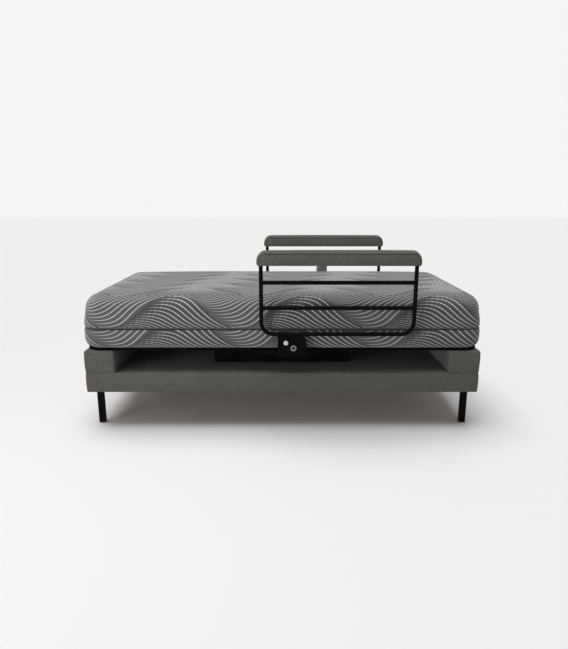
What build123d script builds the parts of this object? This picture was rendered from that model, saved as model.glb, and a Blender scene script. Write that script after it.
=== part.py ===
from build123d import *
import os
from math import atan2, cos, degrees, hypot, pi, radians, sin, tan

# A powered bed: an upholstered base on four legs, end blocks that carry the ends of the deck,
# a swivel in the middle, a deck in four sections with a thick mattress, and a padded rail on each side.
# +X is the head end, -Y the near side, +Z up. The origin is on the floor under the middle of the bed.
# All sizes are in millimetres.

# Bed size, which the base, the deck, the mattress and the rails follow
BED_LENGTH = 2032.0
BED_WIDTH = 965.0

# Base and legs
BASE_END_INSET = 10.0
BASE_SIDE_INSET = 0.0
BASE_HEIGHT = 104.0
BASE_CORNER = 12.0
COVER = 4.0
TOP_BOARD = 12.0
TIMBER = 30.0
BEARER_PITCH = 200.0
BEARER_COUNT = 9
LEG_HEIGHT = 200.0
LEG_SQUARE = 30.0
LEG_WALL = 2.5
LEG_INSET_X = 40.0
LEG_INSET_Y = 88.0
LEG_PLATE = 70.0
LEG_PLATE_THICK = 4.0
GLIDE_HEIGHT = 8.0
GLIDE_PLUG = 16.0
CORNER_BLOCK = 90.0
SCREW_RADIUS = 2.5
SCREW_LENGTH = 30.0
SCREW_HEAD_RADIUS = 4.5
SCREW_HEAD = 2.5
SCREW_SPACING = 54.0

# End blocks on the base
BLOCK_LENGTH = 153.0
BLOCK_HEIGHT = 116.0
BLOCK_EDGE = 13.0

# Swivel
SWIVEL_PLATE = 6.0
SWIVEL_PLATE_LENGTH = 700.0
SWIVEL_PLATE_WIDTH = 590.0
RACE_RADIUS = 160.0
BALL_RADIUS = 6.0
BALL_COUNT = 24
RING_HEIGHT = 14.0
RING_WALL = 22.0
RING_LIFT = 2.0
RACE_GAP = 2.0
TEETH_RING = 96
TEETH_PINION = 16
MODULE = 4.0
ADDENDUM = 3.2
DEDENDUM = 4.4
PRESSURE_ANGLE = 20.0
BACKLASH = 0.9
PINION_SHAFT_RADIUS = 9.0
MOTOR_RADIUS = 26.0
MOTOR_HEIGHT = 44.0
MOTOR_EDGE = 3.0
SKIRT_LENGTH = 730.0
SKIRT_WIDTH = 616.0
SKIRT_WALL = 3.0
SKIRT_LIFT = 8.0
SKIRT_BAND = 20.0
SKIRT_BAND_PROUD = 3.0
SKIRT_BOLT_X = (-288.0, 177.0)
SKIRT_BOLT_HEAD = 6.0
BASE_BOLT_RADIUS = 6.0
BASE_BOLT_HEAD = 5.0
BASE_BOLT_LENGTH = 40.0
BASE_BOLT_SPACING = (2 * BEARER_PITCH, 410.0)

# Deck frame: hinge lines along Y, and the bars that carry the boards
HIP_X = 230.0
THIGH_X = -150.0
KNEE_X = -500.0
DECK_GAP = 1.0
BOARD = 11.0
BOARD_SIDE_INSET = 10.5
BOARD_END_INSET = 11.0
BOARD_CORNER = 90.0
BOARD_HIP_GAP = 30.0
BOARD_SEAT_GAP = 20.0
BOARD_KNEE_GAP = 12.0
FRAME_HEIGHT = 30.0
BAR = 10.0
TUBE_WALL = 2.0
CROSS_TUBE = 40.0
SEAT_CROSS_GAP = 50.0
SEAT_CROSS_COUNT = 3
SEAT_SIDE_TUBE = 30.0
SEAT_SIDE_INSET = 42.5
POST = 40.0
POST_SKIRT_GAP = 15.0
EAR = 8.0
EAR_Y = 250.0
SECTION_GAP = 3.0
PIN_RADIUS = 8.0
PIN_HEAD_RADIUS = 12.0
PIN_HEAD = 5.0
RUNNING = 0.06
BACK_BLOCK_GAP = 57.0
CALF_BLOCK_GAP = 67.0
SECTION_CROSS = 30.0
BACK_CROSS_GAP = 80.0
BACK_CROSS_COUNT = 4
THIGH_CROSS_GAP = 65.0
THIGH_CROSS_COUNT = 3
CALF_CROSS_GAP = 60.0
CALF_CROSS_COUNT = 3

# Raising angles and the levers that the actuators push
BACK_RAISE = 60.0
THIGH_RAISE = 30.0
TORQUE_TUBE_RADIUS = 14.0
TORQUE_TUBE_WALL = 3.0
LEVER_FLOOR_GAP = 19.0
LEVER_PLATE = 6.0
LEVER_EYE = 9.0
LEVER_PIN_RADIUS = 5.0
LEVER_SIDE_GAP = 1.5
ROD_EYE_THICK = 12.0
ROD_EYE_LENGTH = 26.0
ROD_EYE_RIM = 5.0
ROD_SLACK = 1.0
ROD_RADIUS = 6.0
ROD_LENGTH = 130.0
ACTUATOR_Y = 120.0
ACTUATOR_RADIUS = 19.0
ACTUATOR_TUBE = 140.0
ACTUATOR_NOSE_GAP = 28.0
GEARBOX_LENGTH = 60.0
GEARBOX_WIDTH = 84.0
GEARBOX_HEIGHT = 40.0
GEARBOX_EDGE = 6.0
ACTUATOR_MOTOR_RADIUS = 18.0
ACTUATOR_MOTOR_LENGTH = 80.0
CONTROL_BOX = (170.0, 70.0, 42.0)
CONTROL_BOX_Y = -215.0
CONTROL_BOX_X = 40.0
SOCKET = (20.0, 12.0, 14.0)

# Mattress
MATTRESS_THICK = 273.0
MATTRESS_CROWN = 9.0
MATTRESS_CORNER = 95.0
MATTRESS_TOP_EDGE = 52.0
MATTRESS_BOTTOM_EDGE = 40.0
SEAM_HEIGHT = 100.0
SEAM_ROUND = 8.0
FOLD_SPARE = 1.0

# Side rails
RAIL_SIDE_GAP = 26.5
RAIL_TUBE_RADIUS = 10.0
RAIL_TUBE_WALL = 2.0
RAIL_FOOT_X = -102.0
RAIL_HEAD_X = 649.0
RAIL_LIFT = 86.0
RAIL_RISE = 340.0
RAIL_BEND = 60.0
CROSSBAR_RISE = (132.0, 257.0)
COPE_GAP = 0.05
PAD_HEIGHT = 77.0
PAD_OVERHANG = 25.0
PAD_DEPTH = 60.0
PAD_END_ROUND = 35.0
PAD_CROWN = 27.0
PAD_END_LIFT = 2.0
PAD_TUCK = 4.0
PAD_TUCK_HEIGHT = 16.0
PAD_BOARD_THICK = 10.0
PAD_BOARD_INSET = 9.0

# Rail bracket, pivot bolt and release button
PIVOT_X = 57.0
PIVOT_DROP = 70.0
RAIL_SWING = 60.0
RAIL_PLATE = 8.0
RAIL_PLATE_REACH = (78.0, 64.0)
RAIL_PLATE_DROP = 92.0
RAIL_PLATE_CHAMFER = 16.0
BRACKET_PLATE = 8.0
BRACKET_REACH = (85.0, 67.0)
BRACKET_FRAME_INSET = 4.0
BRACKET_RAIL_GAP = 10.0
BRACKET_CHAMFER = 22.0
BRACKET_GAP = 7.0
PIVOT_BOLT_RADIUS = 6.0
PIVOT_HEAD_RADIUS = 15.0
PIVOT_HEAD = 8.0
PIVOT_SOCKET_RADIUS = 5.0
PIVOT_SOCKET = 5.0
PIVOT_SPACER_RADIUS = 13.0
PIVOT_NUT_RADIUS = 11.0
PIVOT_NUT = 8.0
FACE_GAP = 0.3
BUTTON_OFFSET = 38.0
BUTTON_RISE = 28.0
BUTTON_RADIUS = 11.5
BUTTON_CAP = 8.0
BUTTON_TRAVEL = 5.0
BUTTON_STEM_RADIUS = 5.0
BUTTON_STEM_GAP = 0.6
BUTTON_EDGE = 1.5
BEZEL_WALL = 3.5
BEZEL_GAP = 0.5
BEZEL_HEIGHT = 6.0

# Hand control on the far rail
HANDSET_X = 263.0
HANDSET_WIDTH = 70.0
HANDSET_LENGTH = 150.0
HANDSET_DEPTH = 18.0
HANDSET_CORNER = 10.0
HANDSET_EDGE = 3.0
HANDSET_RAIL_GAP = 0.5
HANDSET_OVER_BAR = 22.0
HOOK_WIDTH = 34.0
HOOK_THICK = 5.0
HOOK_LIP = 16.0
HOOK_GAP = 0.4
KEY_WIDTH = 44.0
KEY_LENGTH = 30.0
KEY_PITCH = 40.0
KEY_THICK = 7.0
KEY_PROUD = 2.0
KEY_GAP = 0.6
KEY_CORNER = 6.0
KEY_EDGE = 1.0
KEY_TILT = 4.0
KEY_AXLE_RADIUS = 1.5
KEY_AXLE_REACH = 3.0
KEY_AXLE_DEPTH = 2.5

# Heights and places that follow from the sizes
base_top = LEG_HEIGHT + BASE_HEIGHT
block_top = base_top + BLOCK_HEIGHT
board_bottom = block_top + DECK_GAP
board_top = board_bottom + BOARD
mattress_top = board_top + MATTRESS_THICK
half_base = BED_LENGTH / 2 - BASE_END_INSET
half_base_width = BED_WIDTH / 2 - BASE_SIDE_INSET
frame_bottom = board_bottom - FRAME_HEIGHT
hinge_z = board_bottom - FRAME_HEIGHT / 2
ring_bottom = base_top + SWIVEL_PLATE
ball_z = ring_bottom + RING_HEIGHT / 2
top_plate_bottom = ring_bottom + RING_HEIGHT + RING_LIFT
top_plate_top = top_plate_bottom + SWIVEL_PLATE
skirt_bottom = base_top + SKIRT_LIFT
pitch_ring = MODULE * TEETH_RING / 2
pitch_pinion = MODULE * TEETH_PINION / 2
gear_centre_y = pitch_ring + pitch_pinion

os.makedirs("parts", exist_ok=True)


def save(piece, name):
    """Label a finished piece and write it under its name."""
    piece.part.label = name
    export_step(piece.part, f"parts/{name}.step")


def upright(y):
    """The upright plane at this y, with X to the right and Z up, that faces the near side."""
    return Plane.XZ.offset(-y)


def middle(low, high):
    """The point half-way between two corners."""
    return tuple((a + b) / 2 for a, b in zip(low, high))


def spaced(first, last, count):
    """Places from the first to the last, evenly spaced."""
    return [first + (last - first) * step / (count - 1) for step in range(count)]


def span(low, high, mode=Mode.ADD):
    """A box between two opposite corners, in the part that is being built."""
    with Locations(middle(low, high)):
        Box(*(b - a for a, b in zip(low, high)), mode=mode)


# Base frame: timber sides, ends and bearers, with a block in each corner for a leg
timber_x = half_base - COVER
timber_y = half_base_width - COVER
timber_top = base_top - COVER - TOP_BOARD
leg_x = half_base - LEG_INSET_X
leg_y = half_base_width - LEG_INSET_Y
leg_places = [(sx * leg_x, sy * leg_y) for sx in (-1, 1) for sy in (-1, 1)]
screw_bottom = LEG_HEIGHT - LEG_PLATE_THICK

with BuildPart() as base_frame:
    with BuildSketch(Plane.XY.offset(LEG_HEIGHT)):
        Rectangle(2 * timber_x, 2 * timber_y)
        Rectangle(2 * (timber_x - TIMBER), 2 * (timber_y - TIMBER), mode=Mode.SUBTRACT)
        with GridLocations(BEARER_PITCH, 0, BEARER_COUNT, 1):
            Rectangle(TIMBER, 2 * timber_y - TIMBER)
        for sx in (-1, 1):
            for sy in (-1, 1):
                with Locations((sx * (timber_x - CORNER_BLOCK / 2), sy * leg_y)):
                    Rectangle(CORNER_BLOCK, 2 * (timber_y - leg_y))
    extrude(amount=timber_top - LEG_HEIGHT)
    for x, y in leg_places:
        with Locations(Plane((x, y, LEG_HEIGHT), z_dir=(0, 0, -1))):
            with GridLocations(SCREW_SPACING, SCREW_SPACING, 2, 2):
                Hole(SCREW_RADIUS + RUNNING, depth=SCREW_LENGTH)
    with Locations((0, 0, timber_top)):
        with GridLocations(*BASE_BOLT_SPACING, 2, 2):
            Hole(BASE_BOLT_RADIUS + FACE_GAP, depth=BASE_BOLT_LENGTH)
save(base_frame, "base_frame")

with BuildPart() as base_top_board:
    with BuildSketch(Plane.XY.offset(timber_top)):
        Rectangle(2 * timber_x, 2 * timber_y)
        with GridLocations(*BASE_BOLT_SPACING, 2, 2):
            Circle(BASE_BOLT_RADIUS + FACE_GAP, mode=Mode.SUBTRACT)
    extrude(amount=TOP_BOARD)
save(base_top_board, "base_top_board")

# Base cover: padded cloth over the sides and the top, open underneath
with BuildPart() as base_cover:
    span((-half_base, -half_base_width, LEG_HEIGHT), (half_base, half_base_width, base_top))
    fillet(base_cover.edges().filter_by(Axis.Z), BASE_CORNER)
    span((-timber_x, -timber_y, LEG_HEIGHT), (timber_x, timber_y, base_top - COVER), mode=Mode.SUBTRACT)
    with Locations((0, 0, base_top)):
        with GridLocations(*BASE_BOLT_SPACING, 2, 2):
            Hole(BASE_BOLT_RADIUS + FACE_GAP, depth=COVER)
save(base_cover, "base_cover")

# Legs: square tube with a welded plate, one at each corner
for end_name, end in (("foot", -1), ("head", 1)):
    for side_name, side in (("near", -1), ("far", 1)):
        with BuildPart() as leg:
            with BuildSketch(Plane((end * leg_x, side * leg_y, GLIDE_HEIGHT))):
                Rectangle(LEG_SQUARE, LEG_SQUARE)
                Rectangle(LEG_SQUARE - 2 * LEG_WALL, LEG_SQUARE - 2 * LEG_WALL, mode=Mode.SUBTRACT)
            extrude(amount=screw_bottom - GLIDE_HEIGHT)
            with BuildSketch(Plane((end * leg_x, side * leg_y, screw_bottom))):
                Rectangle(LEG_PLATE, LEG_PLATE)
                with GridLocations(SCREW_SPACING, SCREW_SPACING, 2, 2):
                    Circle(SCREW_RADIUS + FACE_GAP, mode=Mode.SUBTRACT)
            extrude(amount=LEG_PLATE_THICK)
        save(leg, f"leg_{end_name}_{side_name}")

# Glides: plastic feet with a plug up the tube
plug_square = LEG_SQUARE - 2 * LEG_WALL - 2 * FACE_GAP
with BuildPart() as leg_glides:
    for x, y in leg_places:
        with BuildSketch(Plane((x, y, 0))):
            Rectangle(LEG_SQUARE, LEG_SQUARE)
        extrude(amount=GLIDE_HEIGHT)
        with BuildSketch(Plane((x, y, GLIDE_HEIGHT))):
            Rectangle(plug_square, plug_square)
        extrude(amount=GLIDE_PLUG)
save(leg_glides, "leg_glides")

# End blocks: a timber box in a cloth cover, across the full width at each end
for end_name, end in (("foot", -1), ("head", 1)):
    outer = end * half_base
    inner = end * (half_base - BLOCK_LENGTH)
    core_x = sorted((outer - end * COVER, inner + end * COVER))
    with BuildPart() as block_core:
        span((core_x[0], -timber_y, base_top), (core_x[1], timber_y, block_top - COVER))
    save(block_core, f"{end_name}_block_core")

    with BuildPart() as block_cover:
        span((min(outer, inner), -half_base_width, base_top), (max(outer, inner), half_base_width, block_top))
        fillet(block_cover.edges().filter_by(Axis.Z), BASE_CORNER)
        fillet(block_cover.faces().sort_by(Axis.Z)[-1].edges(), BLOCK_EDGE - COVER)
        span((core_x[0], -timber_y, base_top), (core_x[1], timber_y, block_top - COVER), mode=Mode.SUBTRACT)
    save(block_cover, f"{end_name}_block_cover")

# Swivel base plate, bolted down through the cover
with BuildPart() as swivel_base_plate:
    with BuildSketch(Plane.XY.offset(base_top)):
        Rectangle(SWIVEL_PLATE_LENGTH, SWIVEL_PLATE_WIDTH)
        Circle(RACE_RADIUS - RACE_GAP / 2 - RING_WALL, mode=Mode.SUBTRACT)
        with GridLocations(*BASE_BOLT_SPACING, 2, 2):
            Circle(BASE_BOLT_RADIUS + FACE_GAP, mode=Mode.SUBTRACT)
    extrude(amount=SWIVEL_PLATE)
save(swivel_base_plate, "swivel_base_plate")

# Fasteners into the base: screws up through the leg plates, bolts down through the swivel plate
with BuildPart() as base_fasteners:
    for x, y in leg_places:
        with BuildSketch(Plane((x, y, screw_bottom - SCREW_HEAD))):
            with GridLocations(SCREW_SPACING, SCREW_SPACING, 2, 2):
                Circle(SCREW_HEAD_RADIUS)
        extrude(amount=SCREW_HEAD)
        with BuildSketch(Plane((x, y, screw_bottom))):
            with GridLocations(SCREW_SPACING, SCREW_SPACING, 2, 2):
                Circle(SCREW_RADIUS)
        extrude(amount=SCREW_LENGTH)
    with BuildSketch(Plane.XY.offset(ring_bottom)):
        with GridLocations(*BASE_BOLT_SPACING, 2, 2):
            RegularPolygon(2 * BASE_BOLT_RADIUS, 6)
    extrude(amount=BASE_BOLT_HEAD)
    with BuildSketch(Plane.XY.offset(ring_bottom)):
        with GridLocations(*BASE_BOLT_SPACING, 2, 2):
            Circle(BASE_BOLT_RADIUS)
    extrude(amount=-BASE_BOLT_LENGTH)
save(base_fasteners, "base_fasteners")


def tooth(pitch_radius):
    """One straight-sided tooth, centred on the X axis, that overlaps its wheel's rim a little."""
    half = pi * MODULE / 4 - BACKLASH / 2
    slope = tan(radians(PRESSURE_ANGLE))
    foot = -DEDENDUM - MODULE / 4
    low = half - foot * slope
    high = half - ADDENDUM * slope
    x_low = pitch_radius + foot
    x_high = pitch_radius + ADDENDUM
    return [(x_low, -low), (x_high, -high), (x_high, high), (x_low, low)]


# Slewing ring: a fixed outer ring with teeth, balls, and an inner ring that turns with the deck
with BuildPart() as slewing_ring_outer:
    with BuildSketch(Plane.XY.offset(ring_bottom)):
        Circle(pitch_ring - DEDENDUM)
        with PolarLocations(0, TEETH_RING):
            Polygon(*tooth(pitch_ring), align=None)
        Circle(RACE_RADIUS + RACE_GAP / 2, mode=Mode.SUBTRACT)
    extrude(amount=RING_HEIGHT)
    with Locations((0, 0, ball_z)):
        Torus(RACE_RADIUS, BALL_RADIUS + RUNNING, mode=Mode.SUBTRACT)
save(slewing_ring_outer, "slewing_ring_outer")

with BuildPart() as slewing_balls:
    with Locations((0, 0, ball_z)):
        with PolarLocations(RACE_RADIUS, BALL_COUNT):
            Sphere(BALL_RADIUS)
save(slewing_balls, "slewing_balls")

with BuildPart() as slewing_ring_inner:
    with BuildSketch(Plane.XY.offset(ring_bottom + RING_LIFT)):
        Circle(RACE_RADIUS - RACE_GAP / 2)
        Circle(RACE_RADIUS - RACE_GAP / 2 - RING_WALL, mode=Mode.SUBTRACT)
    extrude(amount=top_plate_bottom - ring_bottom - RING_LIFT)
    with Locations((0, 0, ball_z)):
        Torus(RACE_RADIUS, BALL_RADIUS + RUNNING, mode=Mode.SUBTRACT)
save(slewing_ring_inner, "slewing_ring_inner")

# Drive pinion that rolls round the ring, on a shaft up into its motor
motor_bottom = top_plate_top
shaft_top = motor_bottom + MOTOR_HEIGHT / 2
with BuildPart() as swivel_pinion:
    with BuildSketch(Plane((0, gear_centre_y, ring_bottom + RING_LIFT))):
        Circle(pitch_pinion - DEDENDUM)
        turn = -90.0 + 180.0 / TEETH_PINION
        with PolarLocations(0, TEETH_PINION, start_angle=turn):
            Polygon(*tooth(pitch_pinion), align=None)
    extrude(amount=RING_HEIGHT - 2 * RING_LIFT)
    with BuildSketch(Plane((0, gear_centre_y, ring_bottom + RING_LIFT))):
        Circle(PINION_SHAFT_RADIUS)
    extrude(amount=shaft_top - ring_bottom - RING_LIFT)
save(swivel_pinion, "swivel_pinion")

with BuildPart() as swivel_motor:
    with BuildSketch(Plane((0, gear_centre_y, motor_bottom))):
        Circle(MOTOR_RADIUS)
    extrude(amount=MOTOR_HEIGHT)
    fillet(swivel_motor.edges().sort_by(Axis.Z)[-1], MOTOR_EDGE)
    with Locations(Plane((0, gear_centre_y, motor_bottom), z_dir=(0, 0, -1))):
        Hole(PINION_SHAFT_RADIUS + RUNNING, depth=shaft_top - motor_bottom + FACE_GAP)
save(swivel_motor, "swivel_motor")

# Turntable plate over the ring, with a central hole for wiring
with BuildPart() as turntable_plate:
    with BuildSketch(Plane.XY.offset(top_plate_bottom)):
        Rectangle(SKIRT_LENGTH - 2 * SKIRT_WALL, SKIRT_WIDTH - 2 * SKIRT_WALL)
        Circle(RACE_RADIUS - RACE_GAP / 2 - RING_WALL, mode=Mode.SUBTRACT)
        with Locations((0, gear_centre_y)):
            Circle(PINION_SHAFT_RADIUS + FACE_GAP, mode=Mode.SUBTRACT)
    extrude(amount=SWIVEL_PLATE)
save(turntable_plate, "turntable_plate")

# Black skirt round the turntable, with a thicker band along its lower edge
with BuildPart() as skirt:
    with BuildSketch(Plane.XY.offset(skirt_bottom)):
        Rectangle(SKIRT_LENGTH, SKIRT_WIDTH)
        Rectangle(SKIRT_LENGTH - 2 * SKIRT_WALL, SKIRT_WIDTH - 2 * SKIRT_WALL, mode=Mode.SUBTRACT)
    extrude(amount=frame_bottom - FACE_GAP - skirt_bottom)
    with BuildSketch(Plane.XY.offset(skirt_bottom)):
        Rectangle(SKIRT_LENGTH + 2 * SKIRT_BAND_PROUD, SKIRT_WIDTH + 2 * SKIRT_BAND_PROUD)
        Rectangle(SKIRT_LENGTH, SKIRT_WIDTH, mode=Mode.SUBTRACT)
    extrude(amount=SKIRT_BAND)
save(skirt, "swivel_skirt")

with BuildPart() as skirt_bolts:
    for side in (-1, 1):
        face_y = side * (SKIRT_WIDTH / 2 + SKIRT_BAND_PROUD)
        with BuildSketch(upright(face_y)):
            for x in SKIRT_BOLT_X:
                with Locations((x, skirt_bottom + SKIRT_BAND / 2)):
                    RegularPolygon(SKIRT_BAND / 2, 6)
        extrude(amount=-side * SKIRT_BOLT_HEAD)
save(skirt_bolts, "skirt_bolts")


def cylinder_y(x, z, y_from, y_to, radius, mode=Mode.ADD):
    """A round bar along Y, in the part that is being built."""
    with Locations(Location((x, (y_from + y_to) / 2, z), (90, 0, 0))):
        Cylinder(radius, abs(y_to - y_from), mode=mode)


def tube_section(width, height):
    """A rectangular tube's section, in the sketch that is being drawn."""
    Rectangle(width, height)
    Rectangle(width - 2 * TUBE_WALL, height - 2 * TUBE_WALL, mode=Mode.SUBTRACT)


# Seat frame: cross tubes between side tubes, on posts from the turntable, with hinge ears at both ends
seat_half_width = BED_WIDTH / 2 - SEAT_SIDE_INSET
seat_tube_y = seat_half_width - SEAT_SIDE_TUBE / 2
seat_cross_x = spaced(THIGH_X + SEAT_CROSS_GAP, HIP_X - SEAT_CROSS_GAP, SEAT_CROSS_COUNT)
seat_x_low = seat_cross_x[0] - CROSS_TUBE / 2
seat_x_high = seat_cross_x[-1] + CROSS_TUBE / 2
seat_cross_half = seat_half_width - SEAT_SIDE_TUBE
post_y = SKIRT_WIDTH / 2 - SKIRT_WALL - POST_SKIRT_GAP - POST / 2
eye_radius = FRAME_HEIGHT / 2

with BuildPart() as seat_frame:
    with BuildSketch(upright(seat_cross_half)):
        for x in seat_cross_x:
            with Locations((x, hinge_z)):
                tube_section(CROSS_TUBE, FRAME_HEIGHT)
    extrude(amount=2 * seat_cross_half)
    with BuildSketch(Plane.YZ.offset(seat_x_low)):
        for side in (-1, 1):
            with Locations((side * seat_tube_y, hinge_z)):
                tube_section(SEAT_SIDE_TUBE, FRAME_HEIGHT)
    extrude(amount=seat_x_high - seat_x_low)
    with BuildSketch(Plane.XY.offset(top_plate_top)):
        for x in (seat_cross_x[0], seat_cross_x[-1]):
            for side in (-1, 1):
                with Locations((x, side * post_y)):
                    tube_section(POST, POST)
    extrude(amount=frame_bottom - top_plate_top)
    for side in (-1, 1):
        with BuildSketch(upright(side * (EAR_Y + EAR / 2))):
            for face_x, hinge_x in ((seat_x_high, HIP_X), (seat_x_low, THIGH_X)):
                with Locations(((face_x + hinge_x) / 2, hinge_z)):
                    Rectangle(abs(hinge_x - face_x), FRAME_HEIGHT)
                with Locations((hinge_x, hinge_z)):
                    Circle(eye_radius)
            with Locations((HIP_X, hinge_z), (THIGH_X, hinge_z)):
                Circle(PIN_RADIUS + RUNNING, mode=Mode.SUBTRACT)
        extrude(amount=EAR / 2, both=True)
save(seat_frame, "seat_frame")

# Hinge pins at the hip and the thigh, headed on the outside of each ear
section_bar_y = EAR_Y - SECTION_GAP - BAR / 2
calf_bar_y = section_bar_y - BAR - SECTION_GAP
with BuildPart() as hinge_pins:
    for side in (-1, 1):
        for x in (HIP_X, THIGH_X):
            ear_face = side * (EAR_Y + EAR)
            cylinder_y(x, hinge_z, side * (section_bar_y - BAR / 2), ear_face, PIN_RADIUS)
            cylinder_y(x, hinge_z, ear_face, ear_face + side * PIN_HEAD, PIN_HEAD_RADIUS)
save(hinge_pins, "hinge_pins")


def board(name, x_low, x_high, rounded_end):
    """A deck board between two x values, with its corners rounded where it is an end of the bed."""
    with BuildPart() as deck_board:
        with BuildSketch(Plane.XY.offset(board_bottom)) as outline:
            with Locations(((x_low + x_high) / 2, 0)):
                Rectangle(x_high - x_low, BED_WIDTH - 2 * BOARD_SIDE_INSET)
            if rounded_end:
                corners = outline.vertices().sort_by(Axis.X)
                fillet(corners[-2:] if rounded_end > 0 else corners[:2], BOARD_CORNER)
        extrude(amount=BOARD)
    save(deck_board, name)


board_end = BED_LENGTH / 2 - BOARD_END_INSET
board("seat_board", THIGH_X + BOARD_SEAT_GAP, HIP_X - BOARD_SEAT_GAP, 0)
board("back_board", HIP_X + BOARD_HIP_GAP, board_end, 1)
board("thigh_board", KNEE_X + BOARD_KNEE_GAP, THIGH_X - BOARD_SEAT_GAP, 0)
board("calf_board", -board_end, KNEE_X - BOARD_KNEE_GAP, -1)


lever = hinge_z - top_plate_top - LEVER_FLOOR_GAP


def lever_tip(hinge_x, lean):
    """The lever's pin at rest: lean is the angle from straight down, positive towards the head."""
    return hinge_x + lever * sin(radians(lean)), hinge_z - lever * cos(radians(lean))


back_tip = lever_tip(HIP_X, -BACK_RAISE / 2)
thigh_tip = lever_tip(THIGH_X, THIGH_RAISE / 2)


def section_frame(name, bar_y, x_eyes, x_far, cross_x, lever_at=None):
    """Two flat bars with pin eyes, tied by cross tubes, and a torque tube with a lever if it has one."""
    with BuildPart() as frame:
        for side in (-1, 1):
            with BuildSketch(upright(side * bar_y)):
                x_near = x_eyes[0]
                with Locations(((x_near + x_far) / 2, hinge_z)):
                    Rectangle(abs(x_far - x_near), FRAME_HEIGHT)
                for x in x_eyes:
                    with Locations((x, hinge_z)):
                        Circle(eye_radius)
                for x in x_eyes:
                    with Locations((x, hinge_z)):
                        Circle(PIN_RADIUS + RUNNING, mode=Mode.SUBTRACT)
            extrude(amount=BAR / 2, both=True)
        with BuildSketch(upright(bar_y - BAR / 2)):
            for x in cross_x:
                with Locations((x, hinge_z)):
                    tube_section(SECTION_CROSS, FRAME_HEIGHT)
        extrude(amount=2 * bar_y - BAR)
        if lever_at:
            tip, lever_y = lever_at
            tube_end = bar_y - BAR / 2
            plate_y = ROD_EYE_THICK / 2 + LEVER_SIDE_GAP + LEVER_PLATE / 2
            cylinder_y(x_eyes[0], hinge_z, -tube_end, tube_end, TORQUE_TUBE_RADIUS)
            for side in (-1, 1):
                with BuildSketch(upright(lever_y + side * plate_y)):
                    with Locations((x_eyes[0], hinge_z)):
                        Circle(TORQUE_TUBE_RADIUS)
                    with Locations(tip):
                        Circle(LEVER_EYE)
                    make_hull()
                extrude(amount=LEVER_PLATE / 2, both=True)
            bore = TORQUE_TUBE_RADIUS - TORQUE_TUBE_WALL
            cylinder_y(x_eyes[0], hinge_z, -tube_end, tube_end, bore, mode=Mode.SUBTRACT)
            cylinder_y(*tip, lever_y - plate_y, lever_y + plate_y, LEVER_PIN_RADIUS)
    save(frame, name)


block_face = half_base - BLOCK_LENGTH
back_end = block_face - BACK_BLOCK_GAP
calf_end = CALF_BLOCK_GAP - block_face
back_cross_x = spaced(HIP_X + BACK_CROSS_GAP, back_end - SECTION_CROSS / 2, BACK_CROSS_COUNT)
thigh_cross_x = spaced(THIGH_X - THIGH_CROSS_GAP, KNEE_X + THIGH_CROSS_GAP, THIGH_CROSS_COUNT)
calf_cross_x = spaced(KNEE_X - CALF_CROSS_GAP, calf_end + SECTION_CROSS / 2, CALF_CROSS_COUNT)
section_frame("back_frame", section_bar_y, [HIP_X], back_end, back_cross_x, (back_tip, ACTUATOR_Y))
section_frame(
    "thigh_frame", section_bar_y, [THIGH_X, KNEE_X], KNEE_X, thigh_cross_x, (thigh_tip, -ACTUATOR_Y)
)
section_frame("calf_frame", calf_bar_y, [KNEE_X], calf_end, calf_cross_x)

# Knee pins, headed on the outside of the thigh bars
with BuildPart() as knee_pins:
    for side in (-1, 1):
        bar_face = side * (section_bar_y + BAR / 2)
        cylinder_y(KNEE_X, hinge_z, side * (calf_bar_y - BAR / 2), bar_face, PIN_RADIUS)
        cylinder_y(KNEE_X, hinge_z, bar_face, bar_face + side * PIN_HEAD, PIN_HEAD_RADIUS)
save(knee_pins, "knee_pins")


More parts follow.
